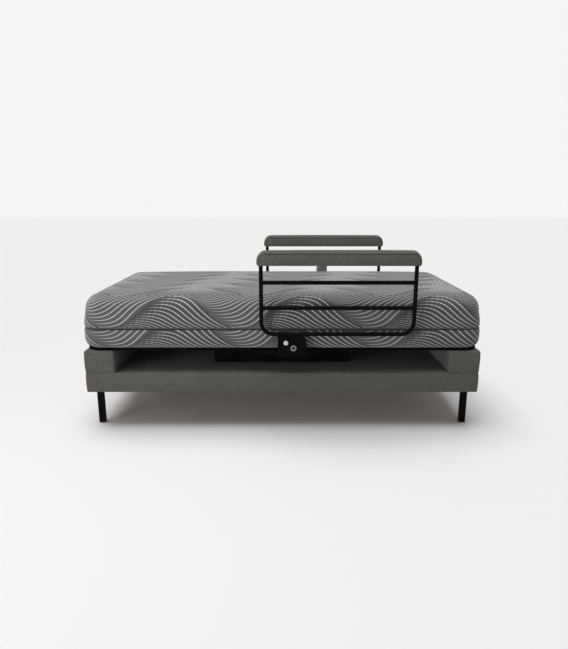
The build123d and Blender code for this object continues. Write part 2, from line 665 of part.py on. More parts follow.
def actuator(body_name, rod_name, tip, swing, push, y):
    """A linear actuator along X whose slotted rod end pushes a lever's pin the way push points."""
    pin_low = hinge_z - lever
    pin_high = hinge_z - lever * cos(radians(swing / 2))
    axis_z = (pin_low + pin_high) / 2
    slot_width = 2 * (LEVER_PIN_RADIUS + ROD_SLACK)
    eye_height = pin_high - pin_low + slot_width + 2 * ROD_EYE_RIM
    eye_end = tip[0] - push * ROD_EYE_LENGTH / 2
    nose = eye_end - push * ACTUATOR_NOSE_GAP
    tube_end = nose - push * ACTUATOR_TUBE
    rear = tube_end - push * GEARBOX_LENGTH
    rod_tail = eye_end - push * ROD_LENGTH
    motor_y = y - (1 if y > 0 else -1) * (GEARBOX_WIDTH / 2)
    along = (push, 0, 0)

    with BuildPart() as rod:
        with BuildSketch(upright(y)):
            with Locations((tip[0], axis_z)):
                Rectangle(ROD_EYE_LENGTH, eye_height)
                SlotCenterToCenter(pin_high - pin_low, slot_width, rotation=90, mode=Mode.SUBTRACT)
        extrude(amount=ROD_EYE_THICK / 2, both=True)
        with BuildSketch(Plane((rod_tail, y, axis_z), z_dir=along)):
            Circle(ROD_RADIUS)
        extrude(amount=ROD_LENGTH)
    save(rod, rod_name)

    box_x = sorted((tube_end, rear))
    box_y = sorted((y + (y - motor_y) / 2, motor_y - (y - motor_y) / 2))
    with BuildPart() as body:
        span((box_x[0], box_y[0], top_plate_top), (box_x[1], box_y[1], axis_z + GEARBOX_HEIGHT / 2))
        fillet(body.edges().filter_by(Axis.Z), GEARBOX_EDGE)
        with BuildSketch(Plane((tube_end, y, axis_z), z_dir=along)):
            Circle(ACTUATOR_RADIUS)
        extrude(amount=ACTUATOR_TUBE)
        with BuildSketch(Plane((tube_end, motor_y, axis_z), z_dir=along)):
            Circle(ACTUATOR_MOTOR_RADIUS)
        extrude(amount=ACTUATOR_MOTOR_LENGTH)
        with BuildSketch(Plane((nose, y, axis_z), z_dir=along)):
            Circle(ROD_RADIUS + RUNNING)
        extrude(amount=-(ROD_LENGTH - ACTUATOR_NOSE_GAP + FACE_GAP), mode=Mode.SUBTRACT)
    save(body, body_name)


actuator("back_actuator", "back_actuator_rod", back_tip, BACK_RAISE, 1, ACTUATOR_Y)
actuator("leg_actuator", "leg_actuator_rod", thigh_tip, THIGH_RAISE, -1, -ACTUATOR_Y)

# Control box on the turntable, with a socket for its supply
with BuildPart() as control_box:
    with Locations((CONTROL_BOX_X, CONTROL_BOX_Y, top_plate_top + CONTROL_BOX[2] / 2)):
        Box(*CONTROL_BOX)
    fillet(control_box.edges().filter_by(Axis.Z), GEARBOX_EDGE)
    with Locations((CONTROL_BOX_X + CONTROL_BOX[0] / 2, CONTROL_BOX_Y, top_plate_top + CONTROL_BOX[2] / 2)):
        Box(2 * SOCKET[1], SOCKET[0], SOCKET[2], mode=Mode.SUBTRACT)
save(control_box, "control_box")

# Mattress: a lower and an upper border drawn in at the seam between them, under a crowned top
seam_z = board_top + SEAM_HEIGHT
half_width = BED_WIDTH / 2
shoulder_z = mattress_top - MATTRESS_CROWN
with BuildPart() as lower_border:
    with BuildSketch(Plane.XY.offset(board_top)):
        RectangleRounded(BED_LENGTH, BED_WIDTH, MATTRESS_CORNER)
    extrude(amount=SEAM_HEIGHT)
    fillet(lower_border.faces().sort_by(Axis.Z)[0].edges(), MATTRESS_BOTTOM_EDGE)
    fillet(lower_border.faces().sort_by(Axis.Z)[-1].edges(), SEAM_ROUND)

with BuildPart() as mattress:
    with BuildSketch(Plane.YZ):
        with BuildLine():
            Polyline(
                (-half_width, shoulder_z),
                (-half_width, seam_z),
                (half_width, seam_z),
                (half_width, shoulder_z),
            )
            ThreePointArc((half_width, shoulder_z), (0, mattress_top), (-half_width, shoulder_z))
        make_face()
    extrude(amount=BED_LENGTH / 2, both=True)
    fillet(mattress.edges().filter_by(Axis.Z), MATTRESS_CORNER)
    fillet(mattress.faces().sort_by(Axis.Z)[-1].edges(), MATTRESS_TOP_EDGE)
    fillet(mattress.faces().sort_by(Axis.Z)[0].edges(), SEAM_ROUND)
    add(lower_border.part)


def fold_line(hinge_x, lean):
    """The two ends of a cut through the mattress from a hinge: lean is from upright, towards the head."""
    low = board_top - BOARD
    high = mattress_top + BOARD
    slope = tan(radians(lean))
    return (hinge_x + (low - hinge_z) * slope, low), (hinge_x + (high - hinge_z) * slope, high)


def mattress_section(name, foot_cut, head_cut):
    """The mattress between two cuts."""
    with BuildPart() as section:
        add(mattress.part)
        with BuildSketch(upright(0)):
            Polygon(foot_cut[0], head_cut[0], head_cut[1], foot_cut[1], align=None)
        extrude(amount=BED_WIDTH, both=True, mode=Mode.INTERSECT)
    save(section, name)


hip_fold = BACK_RAISE / 2 + FOLD_SPARE
thigh_fold = THIGH_RAISE / 2 + FOLD_SPARE
foot_end = fold_line(-BED_LENGTH, 0)
head_end = fold_line(BED_LENGTH, 0)
knee_cut = fold_line(KNEE_X, 0)
thigh_cut_foot = fold_line(THIGH_X, -thigh_fold)
thigh_cut_head = fold_line(THIGH_X, thigh_fold)
hip_cut_foot = fold_line(HIP_X, -hip_fold)
hip_cut_head = fold_line(HIP_X, hip_fold)
mattress_section("mattress_calf", foot_end, knee_cut)
mattress_section("mattress_thigh", knee_cut, thigh_cut_foot)
mattress_section("mattress_thigh_fold", thigh_cut_foot, thigh_cut_head)
mattress_section("mattress_seat", thigh_cut_head, hip_cut_foot)
mattress_section("mattress_hip_fold", hip_cut_foot, hip_cut_head)
mattress_section("mattress_back", hip_cut_head, head_end)

# Side rails, made the same on both sides
rail_offset = BED_WIDTH / 2 + RAIL_SIDE_GAP + RAIL_TUBE_RADIUS
rail_bottom = board_top + RAIL_LIFT
rail_middle_x = (RAIL_FOOT_X + RAIL_HEAD_X) / 2
crossbar_z = [rail_bottom + rise for rise in CROSSBAR_RISE]
pivot_z = rail_bottom - PIVOT_DROP
button_x = PIVOT_X - BUTTON_OFFSET
button_z = pivot_z + BUTTON_RISE
rail_plate_x = (PIVOT_X - RAIL_PLATE_REACH[0], PIVOT_X + RAIL_PLATE_REACH[1])
rail_plate_bottom = rail_bottom - RAIL_PLATE_DROP
bracket_x = (PIVOT_X - BRACKET_REACH[0], PIVOT_X + BRACKET_REACH[1])
bracket_bottom = frame_bottom + BRACKET_FRAME_INSET
bracket_top = rail_bottom - RAIL_TUBE_RADIUS - BRACKET_RAIL_GAP
plate_face = rail_offset + RAIL_PLATE / 2
plate_back = rail_offset - RAIL_PLATE / 2
bracket_face = plate_back - BRACKET_GAP
bracket_back = bracket_face - BRACKET_PLATE
stem_end = (bracket_face + bracket_back) / 2
cap_bottom = plate_face + FACE_GAP + BUTTON_TRAVEL
weld_z = rail_bottom - RAIL_TUBE_RADIUS + RAIL_TUBE_WALL / 2
slot_radius = hypot(button_x - PIVOT_X, button_z - pivot_z)
slot_start = degrees(atan2(button_z - pivot_z, button_x - PIVOT_X))
pad_low_x = RAIL_FOOT_X - PAD_OVERHANG
pad_high_x = RAIL_HEAD_X + PAD_OVERHANG
pad_bottom = rail_bottom + RAIL_RISE
pad_top = pad_bottom + PAD_HEIGHT
pad_board_half = PAD_DEPTH / 2 - PAD_TUCK - PAD_BOARD_INSET

for side_name, side in (("near", -1), ("far", 1)):
    rail_y = side * rail_offset

    # Bent tube with its pivot plate and the button's bezel welded on
    with BuildPart() as rail_frame:
        with BuildLine(upright(rail_y)) as bend:
            FilletPolyline(
                (RAIL_FOOT_X, pad_bottom),
                (RAIL_FOOT_X, rail_bottom),
                (RAIL_HEAD_X, rail_bottom),
                (RAIL_HEAD_X, pad_bottom),
                radius=RAIL_BEND,
            )
        with BuildSketch(Plane(bend.line @ 0, z_dir=bend.line % 0)):
            Circle(RAIL_TUBE_RADIUS)
            Circle(RAIL_TUBE_RADIUS - RAIL_TUBE_WALL, mode=Mode.SUBTRACT)
        sweep()
        with BuildSketch(upright(rail_y)) as plate:
            with BuildLine():
                Polyline(
                    (rail_plate_x[0], rail_plate_bottom),
                    (rail_plate_x[1], rail_plate_bottom),
                    (rail_plate_x[1], weld_z - RAIL_PLATE_CHAMFER),
                    (rail_plate_x[1] - RAIL_PLATE_CHAMFER, weld_z),
                    (rail_plate_x[0], weld_z),
                    close=True,
                )
            make_face()
        extrude(amount=RAIL_PLATE / 2, both=True)
        bezel_radius = BUTTON_RADIUS + BEZEL_GAP
        bezel_face = plate_face + BEZEL_HEIGHT
        cylinder_y(button_x, button_z, side * plate_back, side * bezel_face, bezel_radius + BEZEL_WALL)
        cylinder_y(button_x, button_z, side * plate_face, side * bezel_face, bezel_radius, mode=Mode.SUBTRACT)
        stem_hole = BUTTON_STEM_RADIUS + BUTTON_STEM_GAP
        cylinder_y(button_x, button_z, side * plate_back, side * plate_face, stem_hole, mode=Mode.SUBTRACT)
        bolt_hole = PIVOT_BOLT_RADIUS + RUNNING
        cylinder_y(PIVOT_X, pivot_z, side * plate_back, side * plate_face, bolt_hole, mode=Mode.SUBTRACT)
    save(rail_frame, f"{side_name}_rail_frame")

    # Two straight crossbars, coped to the uprights
    with BuildPart() as rail_crossbars:
        with BuildSketch(Plane.YZ.offset(RAIL_FOOT_X)):
            for z in crossbar_z:
                with Locations((rail_y, z)):
                    Circle(RAIL_TUBE_RADIUS)
                    Circle(RAIL_TUBE_RADIUS - RAIL_TUBE_WALL, mode=Mode.SUBTRACT)
        extrude(amount=RAIL_HEAD_X - RAIL_FOOT_X)
        with BuildSketch(Plane.XY.offset(rail_bottom)):
            with Locations((RAIL_FOOT_X, rail_y), (RAIL_HEAD_X, rail_y)):
                Circle(RAIL_TUBE_RADIUS + COPE_GAP)
        extrude(amount=pad_bottom - rail_bottom, mode=Mode.SUBTRACT)
    save(rail_crossbars, f"{side_name}_rail_crossbars")

    # Armrest: a board on the tube ends and a crowned pad round it
    board_low = (pad_low_x + PAD_BOARD_INSET, rail_y - pad_board_half, pad_bottom)
    board_high = (pad_high_x - PAD_BOARD_INSET, rail_y + pad_board_half, pad_bottom + PAD_BOARD_THICK)
    with BuildPart() as pad_board:
        span(board_low, board_high)
    save(pad_board, f"{side_name}_armrest_board")

    with BuildPart() as pad:
        with BuildSketch(upright(rail_y)) as side_view:
            with BuildLine():
                Polyline(
                    (pad_low_x + PAD_TUCK, pad_bottom),
                    (pad_high_x - PAD_TUCK, pad_bottom),
                    (pad_high_x, pad_bottom + PAD_TUCK_HEIGHT),
                    (pad_high_x, pad_top + PAD_END_LIFT),
                    (pad_low_x, pad_top + PAD_END_LIFT),
                    (pad_low_x, pad_bottom + PAD_TUCK_HEIGHT),
                    close=True,
                )
            make_face()
            fillet(side_view.vertices().sort_by(Axis.Y)[-2:], PAD_END_ROUND)
        extrude(amount=PAD_DEPTH, both=True)
        with BuildSketch(Plane.YZ.offset(rail_middle_x)):
            with BuildLine():
                half = PAD_DEPTH / 2
                edge_z = pad_top - PAD_CROWN
                Polyline(
                    (rail_y - half, edge_z),
                    (rail_y - half, pad_bottom + PAD_TUCK_HEIGHT),
                    (rail_y - half + PAD_TUCK, pad_bottom),
                    (rail_y + half - PAD_TUCK, pad_bottom),
                    (rail_y + half, pad_bottom + PAD_TUCK_HEIGHT),
                    (rail_y + half, edge_z),
                )
                ThreePointArc((rail_y + half, edge_z), (rail_y, pad_top), (rail_y - half, edge_z))
            make_face()
        extrude(amount=pad_high_x - pad_low_x, both=True, mode=Mode.INTERSECT)
        span(board_low, board_high, mode=Mode.SUBTRACT)
    save(pad, f"{side_name}_armrest_pad")

    # Bracket from the seat frame, with the pivot hole and the slot that the button's stem runs in
    with BuildPart() as bracket:
        with BuildSketch(upright(side * (bracket_face + bracket_back) / 2)) as outline:
            with BuildLine():
                Polyline(
                    (bracket_x[0], bracket_bottom),
                    (bracket_x[1], bracket_bottom),
                    (bracket_x[1], board_bottom),
                    (bracket_x[1] - BRACKET_CHAMFER, bracket_top),
                    (bracket_x[0] + BRACKET_CHAMFER, bracket_top),
                    (bracket_x[0], board_bottom),
                    close=True,
                )
            make_face()
            with Locations((PIVOT_X, pivot_z)):
                Circle(PIVOT_BOLT_RADIUS + RUNNING, mode=Mode.SUBTRACT)
            with BuildLine(mode=Mode.PRIVATE) as stem_path:
                CenterArc((PIVOT_X, pivot_z), slot_radius, slot_start, RAIL_SWING)
            SlotArc(stem_path.edge(), 2 * (BUTTON_STEM_RADIUS + BUTTON_STEM_GAP), mode=Mode.SUBTRACT)
        extrude(amount=BRACKET_PLATE / 2, both=True)
        arm_y = sorted((side * seat_half_width, side * bracket_back))
        span((bracket_x[0], arm_y[0], bracket_bottom), (bracket_x[1], arm_y[1], board_bottom - DECK_GAP))
    save(bracket, f"{side_name}_rail_bracket")

    # Release button: a cap in the bezel on a stem that reaches into the bracket's slot
    with BuildPart() as button:
        cylinder_y(button_x, button_z, side * cap_bottom, side * (cap_bottom + BUTTON_CAP), BUTTON_RADIUS)
        fillet(button.edges().filter_by(GeomType.CIRCLE).sort_by(Axis.Y)[-1 if side > 0 else 0], BUTTON_EDGE)
        cylinder_y(button_x, button_z, side * stem_end, side * cap_bottom, BUTTON_STEM_RADIUS)
    save(button, f"{side_name}_release_button")

# Pivot bolts: socket head outside, a spacer between the plates and a nut inside
with BuildPart() as rail_pivot_bolts:
    for side in (-1, 1):
        head_low = side * (plate_face + FACE_GAP)
        head_high = side * (plate_face + FACE_GAP + PIVOT_HEAD)
        nut_low = side * (bracket_back - PIVOT_NUT)
        cylinder_y(PIVOT_X, pivot_z, head_low, head_high, PIVOT_HEAD_RADIUS)
        cylinder_y(PIVOT_X, pivot_z, nut_low, head_low, PIVOT_BOLT_RADIUS)
        cylinder_y(PIVOT_X, pivot_z, side * bracket_face, side * (plate_back - FACE_GAP), PIVOT_SPACER_RADIUS)
        cylinder_y(PIVOT_X, pivot_z, nut_low, side * bracket_back, PIVOT_NUT_RADIUS)
        socket_low = head_high - side * PIVOT_SOCKET
        cylinder_y(PIVOT_X, pivot_z, socket_low, head_high, PIVOT_SOCKET_RADIUS, mode=Mode.SUBTRACT)
save(rail_pivot_bolts, "rail_pivot_bolts")

# Hand control hooked over the far rail's upper crossbar, with rocker keys facing the bed
hook_bar_z = crossbar_z[-1]
case_back = rail_offset - RAIL_TUBE_RADIUS - HANDSET_RAIL_GAP
case_face = case_back - HANDSET_DEPTH
case_top = hook_bar_z + HANDSET_OVER_BAR
case_z = case_top - HANDSET_LENGTH / 2
hook_low = hook_bar_z + RAIL_TUBE_RADIUS + HOOK_GAP
hook_inside = rail_offset + RAIL_TUBE_RADIUS + HOOK_GAP
key_back = case_face + KEY_THICK - KEY_PROUD
well_floor = key_back + KEY_LENGTH / 2 * sin(radians(KEY_TILT)) + KEY_GAP
axle_y = case_face + KEY_AXLE_DEPTH
key_places = [case_z + step * KEY_PITCH for step in (-1, 0, 1)]
key_half = KEY_WIDTH / 2

with BuildPart() as handset_case:
    with BuildSketch(upright(case_back)):
        with Locations((HANDSET_X, case_z)):
            RectangleRounded(HANDSET_WIDTH, HANDSET_LENGTH, HANDSET_CORNER)
    extrude(amount=HANDSET_DEPTH)
    fillet(handset_case.faces().sort_by(Axis.Y)[0].edges(), HANDSET_EDGE)
    hook_x = (HANDSET_X - HOOK_WIDTH / 2, HANDSET_X + HOOK_WIDTH / 2)
    hook_top = hook_low + HOOK_THICK
    span((hook_x[0], case_back, hook_low), (hook_x[1], hook_inside + HOOK_THICK, hook_top))
    span((hook_x[0], hook_inside, hook_low - HOOK_LIP), (hook_x[1], hook_inside + HOOK_THICK, hook_top))
    for z in key_places:
        with BuildSketch(upright(well_floor)):
            with Locations((HANDSET_X, z)):
                RectangleRounded(KEY_WIDTH + 2 * KEY_GAP, KEY_LENGTH + 2 * KEY_GAP, KEY_CORNER + KEY_GAP)
        extrude(amount=well_floor - case_face, mode=Mode.SUBTRACT)
        with BuildSketch(Plane.YZ.offset(HANDSET_X)):
            with Locations((axle_y, z)):
                Circle(KEY_AXLE_RADIUS + RUNNING)
        extrude(amount=key_half + KEY_AXLE_REACH + KEY_GAP, both=True, mode=Mode.SUBTRACT)
save(handset_case, "handset_case")

for key_name, z in zip(("swivel", "legs", "back"), key_places):
    with BuildPart() as key:
        with BuildSketch(upright(key_back)):
            with Locations((HANDSET_X, z)):
                RectangleRounded(KEY_WIDTH, KEY_LENGTH, KEY_CORNER)
        extrude(amount=KEY_THICK)
        fillet(key.faces().sort_by(Axis.Y)[0].edges(), KEY_EDGE)
        with BuildSketch(Plane.YZ.offset(HANDSET_X)):
            with Locations((axle_y, z)):
                Circle(KEY_AXLE_RADIUS)
        extrude(amount=key_half + KEY_AXLE_REACH, both=True)
    save(key, f"handset_{key_name}_key")
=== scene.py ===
from math import atan2, cos, exp, hypot, pi, radians, sin

import bmesh
import bpy
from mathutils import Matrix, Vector, noise


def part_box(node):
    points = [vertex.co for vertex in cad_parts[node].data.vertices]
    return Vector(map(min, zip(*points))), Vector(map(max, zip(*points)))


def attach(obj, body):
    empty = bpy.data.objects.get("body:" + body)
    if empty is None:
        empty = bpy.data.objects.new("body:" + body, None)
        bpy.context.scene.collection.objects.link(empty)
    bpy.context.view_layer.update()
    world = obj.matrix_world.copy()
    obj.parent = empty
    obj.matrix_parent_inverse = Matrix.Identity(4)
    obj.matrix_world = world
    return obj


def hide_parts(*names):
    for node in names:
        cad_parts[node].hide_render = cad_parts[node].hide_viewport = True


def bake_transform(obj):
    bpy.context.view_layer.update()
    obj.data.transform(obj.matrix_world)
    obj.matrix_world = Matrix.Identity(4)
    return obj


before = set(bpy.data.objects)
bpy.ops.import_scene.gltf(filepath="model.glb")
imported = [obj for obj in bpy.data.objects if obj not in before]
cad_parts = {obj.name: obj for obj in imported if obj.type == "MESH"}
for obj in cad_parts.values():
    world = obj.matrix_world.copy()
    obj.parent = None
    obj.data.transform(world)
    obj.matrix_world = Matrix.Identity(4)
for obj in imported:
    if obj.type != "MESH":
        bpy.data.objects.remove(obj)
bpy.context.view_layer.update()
scene = bpy.context.scene

# Timber of the base: pine rails and bearers screwed together, with a thin top board.
# Planed and left bare, with a soft straight grain along the length.
# It shows only from underneath and inside the cover.
PINE_DARK = (0.36, 0.22, 0.11)
PINE_LIGHT = (0.56, 0.40, 0.23)
PINE_GRAIN = (3.0, 60.0, 60.0)
GRAIN_DEPTH = 0.0006


def new_material(name):
    """A node material with its tree and its Principled shader."""
    material = bpy.data.materials.new(name)
    material.use_nodes = True
    tree = material.node_tree
    return material, tree, tree.nodes["Principled BSDF"]


def add_node(tree, kind, inputs=None, **settings):
    """A node with its settings, and each input linked from a socket or set to a value."""
    made = tree.nodes.new(kind)
    for key, value in settings.items():
        setattr(made, key, value)
    for key, value in (inputs or {}).items():
        if isinstance(value, bpy.types.NodeSocket):
            tree.links.new(value, made.inputs[key])
        else:
            made.inputs[key].default_value = value
    return made


def calc(tree, operation, *values):
    """A Math node's result from sockets and numbers."""
    made = add_node(tree, "ShaderNodeMath", dict(enumerate(values)), operation=operation)
    return made.outputs[0]


def ramp(tree, value, low, high, to_low=0.0, to_high=1.0):
    """A smooth step of a value from low to high, put out between two levels."""
    levels = {"Value": value, "From Min": low, "From Max": high, "To Min": to_low, "To Max": to_high}
    made = add_node(tree, "ShaderNodeMapRange", levels, interpolation_type="SMOOTHSTEP")
    return made.outputs["Result"]


def tint(tree, factor, dark, light):
    """A colour between two, by a factor that changes over the surface."""
    made = add_node(tree, "ShaderNodeMix", {"Factor": factor}, data_type="RGBA")
    made.inputs["A"].default_value = (*dark, 1.0)
    made.inputs["B"].default_value = (*light, 1.0)
    return made.outputs["Result"]


def bump(tree, height, distance, strength=1.0):
    """A Bump node's normal from a height."""
    levels = {"Height": height, "Distance": distance, "Strength": strength}
    return add_node(tree, "ShaderNodeBump", levels).outputs["Normal"]


def place(tree, scale=(1.0, 1.0, 1.0)):
    """The piece's own coordinates in metres, stretched by a scale."""
    own = add_node(tree, "ShaderNodeTexCoord").outputs["Object"]
    return add_node(tree, "ShaderNodeMapping", {"Vector": own, "Scale": scale}).outputs["Vector"]


def wood(name, dark, light, roughness, stretch, shine=0.5):
    """A wood with its grain along X."""
    material, tree, shader = new_material(name)
    fibres = {"Vector": place(tree, stretch), "Scale": 1.0, "Detail": 6.0}
    fibres.update({"Roughness": 0.6, "Distortion": 0.4})
    grain = add_node(tree, "ShaderNodeTexNoise", fibres).outputs["Fac"]
    tone = ramp(tree, grain, 0.3, 0.7)
    worn = ramp(tree, grain, 0.3, 0.7, roughness + 0.12, roughness - 0.06)
    tree.links.new(tint(tree, tone, dark, light), shader.inputs["Base Color"])
    tree.links.new(worn, shader.inputs["Roughness"])
    tree.links.new(bump(tree, grain, GRAIN_DEPTH), shader.inputs["Normal"])
    shader.inputs["Specular IOR Level"].default_value = shine
    return material


def dress(material, slot, *names):
    """Give CAD nodes a material in place of their plain one."""
    for name in names:
        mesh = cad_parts[name].data
        mesh.materials.clear()
        mesh.materials.append(material)


pine = wood("pine", PINE_DARK, PINE_LIGHT, 0.62, PINE_GRAIN)
dress(pine, "timber", "base_frame", "base_top_board", "foot_block_core", "head_block_core")

# Cover of the base and of the two end blocks: a linen weave, warm dark grey, over thin wadding.
# Each cover is pulled tight over its box and stapled underneath, so the edges are soft
# and the long faces belly out a little between them.
LINEN_DARK = (0.080, 0.076, 0.067)
LINEN_LIGHT = (0.190, 0.181, 0.162)
# The seam colour below is painted shade: a near-black the linen takes along the pad seams, in place of the
# shadow in their grooves.
LINEN_SEAM_SHADE = (0.045, 0.042, 0.037)
THREAD = 3600.0
SLUB_FAST = 520.0
SLUB_SLOW = 60.0
WEAVE_DEPTH = 0.0007
COVER_BELLY = 0.0022
COVER_UNEVEN = 0.5
COVER_RATE = 7.0
COVER_WALL = 0.0034
BASE_EDGES = (0.009, 0.007, 0.003)
BASE_CUTS = (60, 30, 8)
BLOCK_EDGES = (0.009, 0.009, 0.0035)
BLOCK_CUTS = (10, 30, 8)

linen, tree, shader = new_material("linen")
weft_run = {"Vector": place(tree, (SLUB_SLOW, SLUB_FAST, SLUB_FAST)), "Scale": 1.0, "Detail": 3.0}
warp_run = {"Vector": place(tree, (SLUB_FAST, SLUB_SLOW, SLUB_SLOW)), "Scale": 1.0, "Detail": 3.0}
weft = add_node(tree, "ShaderNodeTexNoise", weft_run).outputs["Fac"]
warp = add_node(tree, "ShaderNodeTexNoise", warp_run).outputs["Fac"]
dye_run = {"Vector": place(tree), "Scale": 9.0, "Detail": 4.0}
dye = add_node(tree, "ShaderNodeTexNoise", dye_run).outputs["Fac"]
slubs = calc(tree, "ADD", calc(tree, "MULTIPLY", weft, 0.55), calc(tree, "MULTIPLY", warp, 0.45))
slubs = calc(tree, "ADD", slubs, calc(tree, "MULTIPLY", calc(tree, "SUBTRACT", dye, 0.5), 0.12))
axes = add_node(tree, "ShaderNodeSeparateXYZ", {"Vector": place(tree)}).outputs
one_way = calc(tree, "SINE", calc(tree, "MULTIPLY", axes["X"], THREAD))
beside = calc(tree, "ADD", axes["Y"], axes["Z"])
other_way = calc(tree, "SINE", calc(tree, "MULTIPLY", beside, THREAD))
threads = calc(tree, "MULTIPLY", one_way, other_way)
height = calc(tree, "ADD", slubs, calc(tree, "MULTIPLY", threads, 0.3))
tone = calc(tree, "MULTIPLY_ADD", threads, 0.05, slubs)
woven = tint(tree, ramp(tree, tone, 0.28, 0.72), LINEN_DARK, LINEN_LIGHT)
# Painted shade: where the pad seams are marked, the weave darkens to the seam colour, standing in for the
# shadow in the seam groove.
sewn = add_node(tree, "ShaderNodeAttribute", attribute_name="sewn").outputs["Fac"]
seamed = add_node(tree, "ShaderNodeMix", {"Factor": ramp(tree, sewn, 0.15, 0.85)}, data_type="RGBA")
tree.links.new(woven, seamed.inputs["A"])
seamed.inputs["B"].default_value = (*LINEN_SEAM_SHADE, 1.0)
tree.links.new(seamed.outputs["Result"], shader.inputs["Base Color"])
tree.links.new(ramp(tree, slubs, 0.3, 0.7, 0.95, 0.84), shader.inputs["Roughness"])
tree.links.new(bump(tree, height, WEAVE_DEPTH), shader.inputs["Normal"])
shader.inputs["Specular IOR Level"].default_value = 0.2
shader.inputs["Sheen Weight"].default_value = 0.15
shader.inputs["Sheen Roughness"].default_value = 0.5


def block(low, high):
    """A box between two corners, as a bmesh."""
    form = bmesh.new()
    size = [b - a for a, b in zip(low, high)]
    middle = [(a + b) / 2 for a, b in zip(low, high)]
    bmesh.ops.create_cube(form, size=1.0)
    bmesh.ops.scale(form, vec=size, verts=form.verts)
    bmesh.ops.translate(form, vec=middle, verts=form.verts)
    return form


def level_edges(form, z):
    """The edges that lie at this height."""
    return [e for e in form.edges if all(abs(v.co.z - z) < 1e-5 for v in e.verts)]


def upright_edges(form):
    """The edges that run straight up."""
    return [e for e in form.edges if (e.verts[0].co - e.verts[1].co).xy.length < 1e-5]


def soften(form, edges, offset, segments):
    """Round some edges over, and give back what that made."""
    return bmesh.ops.bevel(
        form, geom=edges, offset=offset, offset_type="OFFSET", segments=segments,
        profile=0.5, affect="EDGES", material=-1, clamp_overlap=True,
    )


def slice_at(form, axis, places):
    """Cut loops across a form, square to an axis."""
    normal = [float(axis == step) for step in range(3)]
    for at in places:
        point = [at * way for way in normal]
        whole = form.verts[:] + form.edges[:] + form.faces[:]
        bmesh.ops.bisect_plane(form, geom=whole, plane_co=point, plane_no=normal, dist=1e-6)


def steps(low, high, count):
    """Places between two ends, without the ends."""
    return [low + (high - low) * step / count for step in range(1, count)]


def make_piece(name, form, material, smooth=True):
    """An object from a bmesh, with its material."""
    mesh = bpy.data.meshes.new(name)
    form.to_mesh(mesh)
    form.free()
    mesh.materials.append(material)
    for face in mesh.polygons:
        face.use_smooth = smooth
    piece = bpy.data.objects.new(name, mesh)
    scene.collection.objects.link(piece)
    return piece


def covered_box(node, edges, cuts, open_below):
    """A cloth cover over a box, with its sides a little fuller between the edges."""
    corner, top_edge, hem_edge = edges
    low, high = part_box(node)
    form = block(low, high)
    soften(form, upright_edges(form), corner, 5)
    soften(form, level_edges(form, high.z), top_edge, 4)
    soften(form, level_edges(form, low.z), hem_edge, 3)
    if open_below:
        underneath = [face for face in form.faces if face.normal.z < -0.99]
        bmesh.ops.delete(form, geom=underneath, context="FACES")
    for axis, count in enumerate(cuts):
        slice_at(form, axis, steps(low[axis], high[axis], count))
    form.normal_update()
    middle = (low + high) / 2
    half = (high - low) / 2
    for vert in form.verts:
        share = (vert.co - middle) / half.z
        level = Vector((vert.normal.x, vert.normal.y, 0.0))
        fullness = max(1.0 - share.z ** 2, 0.0) * level.length
        uneven = 1.0 + COVER_UNEVEN * noise.noise(vert.co * COVER_RATE)
        vert.co += level * COVER_BELLY * fullness * uneven
    return form


def seat_cover(name, node, edges, cuts, open_below=False):
    """One finished cover in place of its node, with the thickness of cloth and wadding."""
    piece = make_piece(name, covered_box(node, edges, cuts, open_below), linen)
    wall = piece.modifiers.new("wall", "SOLIDIFY")
    wall.thickness = COVER_WALL
    wall.offset = -1.0
    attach(piece, "base")
    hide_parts(node)


seat_cover("base_upholstery", "base_cover", BASE_EDGES, BASE_CUTS, open_below=True)
seat_cover("foot_block_upholstery", "foot_block_cover", BLOCK_EDGES, BLOCK_CUTS)
seat_cover("head_block_upholstery", "head_block_cover", BLOCK_EDGES, BLOCK_CUTS)

# Legs: square steel tube with rounded corners, welded to a plate and powder-coated satin black.
# Four screws hold each plate to a block inside the base, and a plastic glide closes the tube.
BLACK_DARK = (0.0015, 0.0015, 0.0015)
BLACK_LIGHT = (0.0040, 0.0040, 0.0040)
ZINC_DARK = (0.42, 0.42, 0.43)
ZINC_LIGHT = (0.62, 0.62, 0.63)
MOULDED_DARK = (0.003, 0.003, 0.003)
MOULDED_LIGHT = (0.008, 0.008, 0.008)


def coat_group():
    """Fine unevenness of paint, metal or moulded plastic: a tone and a height."""
    group = bpy.data.node_groups.new("coat_grain", "ShaderNodeTree")
    group.interface.new_socket("Size", in_out="INPUT", socket_type="NodeSocketFloat")
    group.interface.new_socket("Tone", in_out="OUTPUT", socket_type="NodeSocketFloat")
    group.interface.new_socket("Height", in_out="OUTPUT", socket_type="NodeSocketFloat")
    given = group.nodes.new("NodeGroupInput").outputs
    result = group.nodes.new("NodeGroupOutput").inputs
    own = place(group)
    fine = {"Vector": own, "Scale": given["Size"], "Detail": 3.0}
    broad = {"Vector": own, "Scale": 14.0, "Detail": 4.0}
    peel = add_node(group, "ShaderNodeTexNoise", fine).outputs["Fac"]
    cloud = add_node(group, "ShaderNodeTexNoise", broad).outputs["Fac"]
    tone = calc(group, "ADD", calc(group, "MULTIPLY", peel, 0.4), calc(group, "MULTIPLY", cloud, 0.6))
    group.links.new(ramp(group, tone, 0.32, 0.68), result["Tone"])
    group.links.new(peel, result["Height"])
    return group


coat_grain = coat_group()


